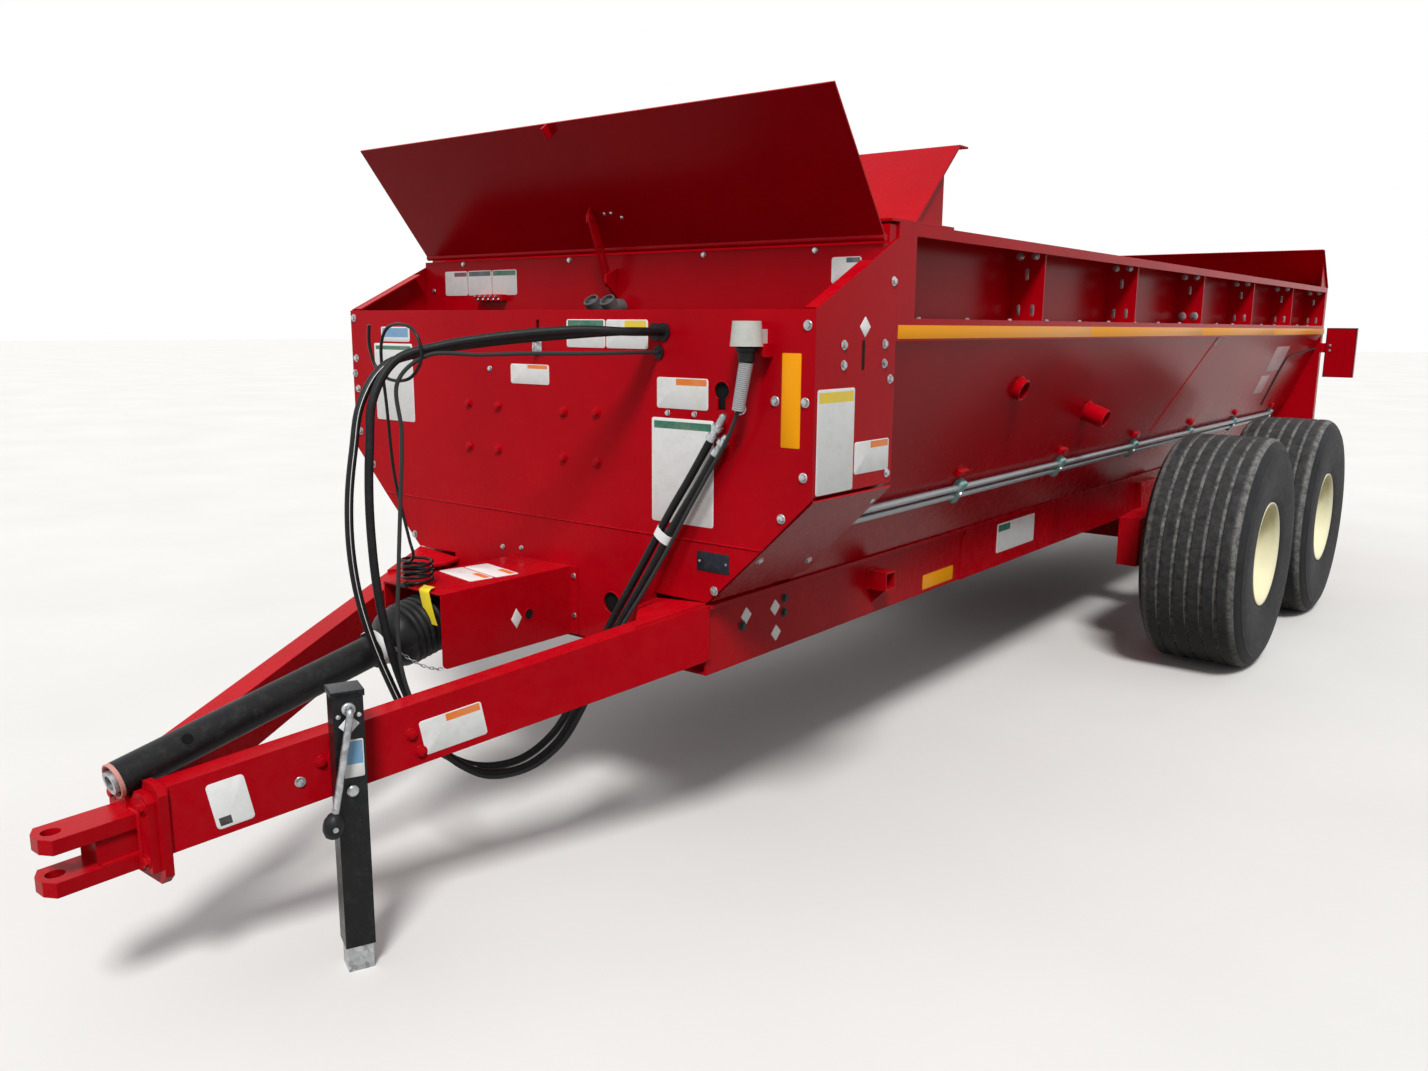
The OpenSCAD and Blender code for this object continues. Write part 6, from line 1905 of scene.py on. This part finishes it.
@dataclass
class RearEnd:
    """Lamps, reflectors, bearings and the slow-vehicle triangle behind the tank."""

    panel_x: tuple = (922.0, 1095.0)
    panel_z: tuple = (1134.0, 1446.0)
    sheet_t: float = 4.0
    tray_t: float = 38.0
    crease: float = 28.545
    arm_x: float = 912.0
    reflector_x: float = 800.0
    auger_x: float = 235.0
    auger_z: float = 790.0

    def build(self) -> None:
        """Dresses the rear."""
        rear = Faces.rear
        middle = sum(self.panel_x) / 2
        self.trays(rear, middle)
        for side, way in SIDES:
            x = -way * middle
            for name, z, finish in (("tail", 1380, Paints.lens), ("turn", 1265, Paints.amber_lens)):
                lens = turned([(0, 0), (44, 0), (44, 8), (42, 13), (30, 18), (0, 20)], 36, closed=False)
                set_down(lens, f"{name}_lens_{side}", finish, rear.frame(x, z, self.sheet_t), smooth_deg=40)
                rim = turned([(44.4, 0), (52, 0), (52, 11), (50, 13), (46, 13), (44.4, 11)], 40)
                set_down(rim, f"{name}_lamp_rim_{side}", Paints.guard, rear.frame(x, z, self.sheet_t))
            front = Face(at(way * middle, REAR_WALL_Y, 0), X_AXIS, Z_AXIS)
            bend = bent_wire([(-self.crease, z, 0.4) for z in (1136, 1444)], 1.6, smooth=False)
            set_down(bend, f"lamp_panel_crease_{side}", Paints.red, front.frame(2 * self.crease * way, 0))
            SMALL_BOLT.set_row(f"lamp_panel_bolts_{side}", [front.frame(-way * 60, z) for z in (1304, 1336)])
        for side, way in SIDES:
            self.bearing(rear, side, -way * self.auger_x)
            x = -way * self.reflector_x
            Sign(f"rear_reflector_{side}", x - 26, x + 26, 1180, 1410, (), Paints.red_tape, 3.0).build(rear)
        self.triangle(rear)
        ZINC_BOLT.set_row("rear_wall_bolts", [rear.frame(x, z) for x in (-860, -430, 0, 430, 860)
                                              for z in (1668, 1440)])
        Sign("rear_sign", 330, 520, 1240, 1360, header(Paints.orange, 0.4, 0.97, 0.78)).build(rear)

    def trays(self, rear: Face, middle: float) -> None:
        """Folds the two shallow trays that carry the lamps, each on its flat arm.

        Args:
            rear: The plane that the trays stand on.
            middle: Distance of a tray's middle from the machine's, mm.
        """
        t, w, h = self.sheet_t, self.panel_x[1] - self.panel_x[0], self.panel_z[1] - self.panel_z[0]
        z = sum(self.panel_z) / 2
        spots = (-middle, middle)
        sheet = copies(block(w, h, t, 0, 0.4), [rear.frame(x, z) for x in spots])
        sides = copies(block(t, h, self.tray_t, 0, 0.4),
                       [rear.frame(x + dx, z) for x in spots for dx in (-(w - t) / 2, (w - t) / 2)])
        ends = copies(block(w, t, self.tray_t, 0, 0.4),
                      [rear.frame(x, z + dz) for x in spots for dz in (-(h - t) / 2, (h - t) / 2)])
        arms = copies(block(136, 60, 6, 0, 0.6),
                      [rear.frame(x, 1320, 0.3) for x in (-self.arm_x, self.arm_x)])
        made = set_down(joined([sheet, sides, ends, arms]), "lamp_trays", Paints.red, Matrix())
        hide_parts("light_panels")

    def bearing(self, wall: Face, side: str, x: float) -> None:
        """Models the flanged bearing at one auger's rear end."""
        flange = block(170, 170, 14, 26, 3)
        housing = turned([(60, 12), (60, 22), (54, 30), (40, 32), (0, 32)], 40, closed=False)
        set_down(joined([flange, housing]), f"auger_bearing_{side}", Paints.iron,
                 wall.frame(x, self.auger_z), slot="red_paint")
        Fasteners(Head.HEX, 9).set_row(
            f"bearing_bolts_{side}",
            [wall.frame(x + dx, self.auger_z + dz, 14) for dx in (-62, 62) for dz in (-62, 62)])

    def triangle(self, wall: Face) -> None:
        """Models the generic slow-vehicle triangle in the middle of the rear wall."""
        def corners(r: float, cut: float) -> list[tuple[float, float]]:
            """Gives the corners of a triangle with its points cut off."""
            made = []
            for k in range(3):
                a = math.radians(90 + 120 * k)
                tip = Vector((r * math.cos(a), r * math.sin(a)))
                along = Vector((-math.sin(a), math.cos(a)))
                inward = -tip.normalized()
                made += [tuple(tip + inward * cut + along * cut * side) for side in (-0.58, 0.58)]
            return made
        for name, r, cut, t, finish in (("triangle_border", 205, 38, 2.0, Paints.red_tape),
                                        ("triangle_centre", 150, 0.6, 3.0, Paints.orange)):
            set_down(plate(corners(r, cut), t, 0.4), name, finish, wall.frame(0, 1180))


@dataclass
class Discharge:
    """Bearings of the expeller at both ends of the discharge on the right side."""

    end_rows: tuple = (450.0, 1390.0)

    def build(self) -> None:
        """Dresses the discharge housing."""
        for name, y, way in zip(("front", "rear"), self.end_rows, (1, -1)):
            face = Face(at(0, y, 0), way * X_AXIS, Z_AXIS)
            hub = turned([(25.6, 0), (58, 0), (58, 8), (50, 20), (36, 24), (25.6, 24)], 40)
            x, z = EXPELLER_X, EXPELLER_Z
            set_down(hub, f"expeller_bearing_{name}", Paints.iron, face.frame(way * x, z), slot="red_paint")
            spots = [face.frame(way * x + dx, z + dz, 8) for dx, dz, _ in circle(46, 4, turn=0.785)]
            ZINC_BOLT.set_row(f"expeller_bearing_bolts_{name}", spots)


def main() -> None:
    """Builds the scene around the frame, sub-assembly by sub-assembly."""
    logging.basicConfig(level=logging.INFO, format="%(message)s")
    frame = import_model()
    Surroundings().build()
    Cords().build()
    Coats().build(frame["nodes"])
    for part in (FrontPanel(), FrontWall(), Flap(), HoseHanger(), Hood(), PowerShaft(), Tongue(), Jack(),
                 TankSides(), Rails(), Wheels(), RearEnd(), Discharge()):
        part.build()


if __name__ == "__main__":
    main()
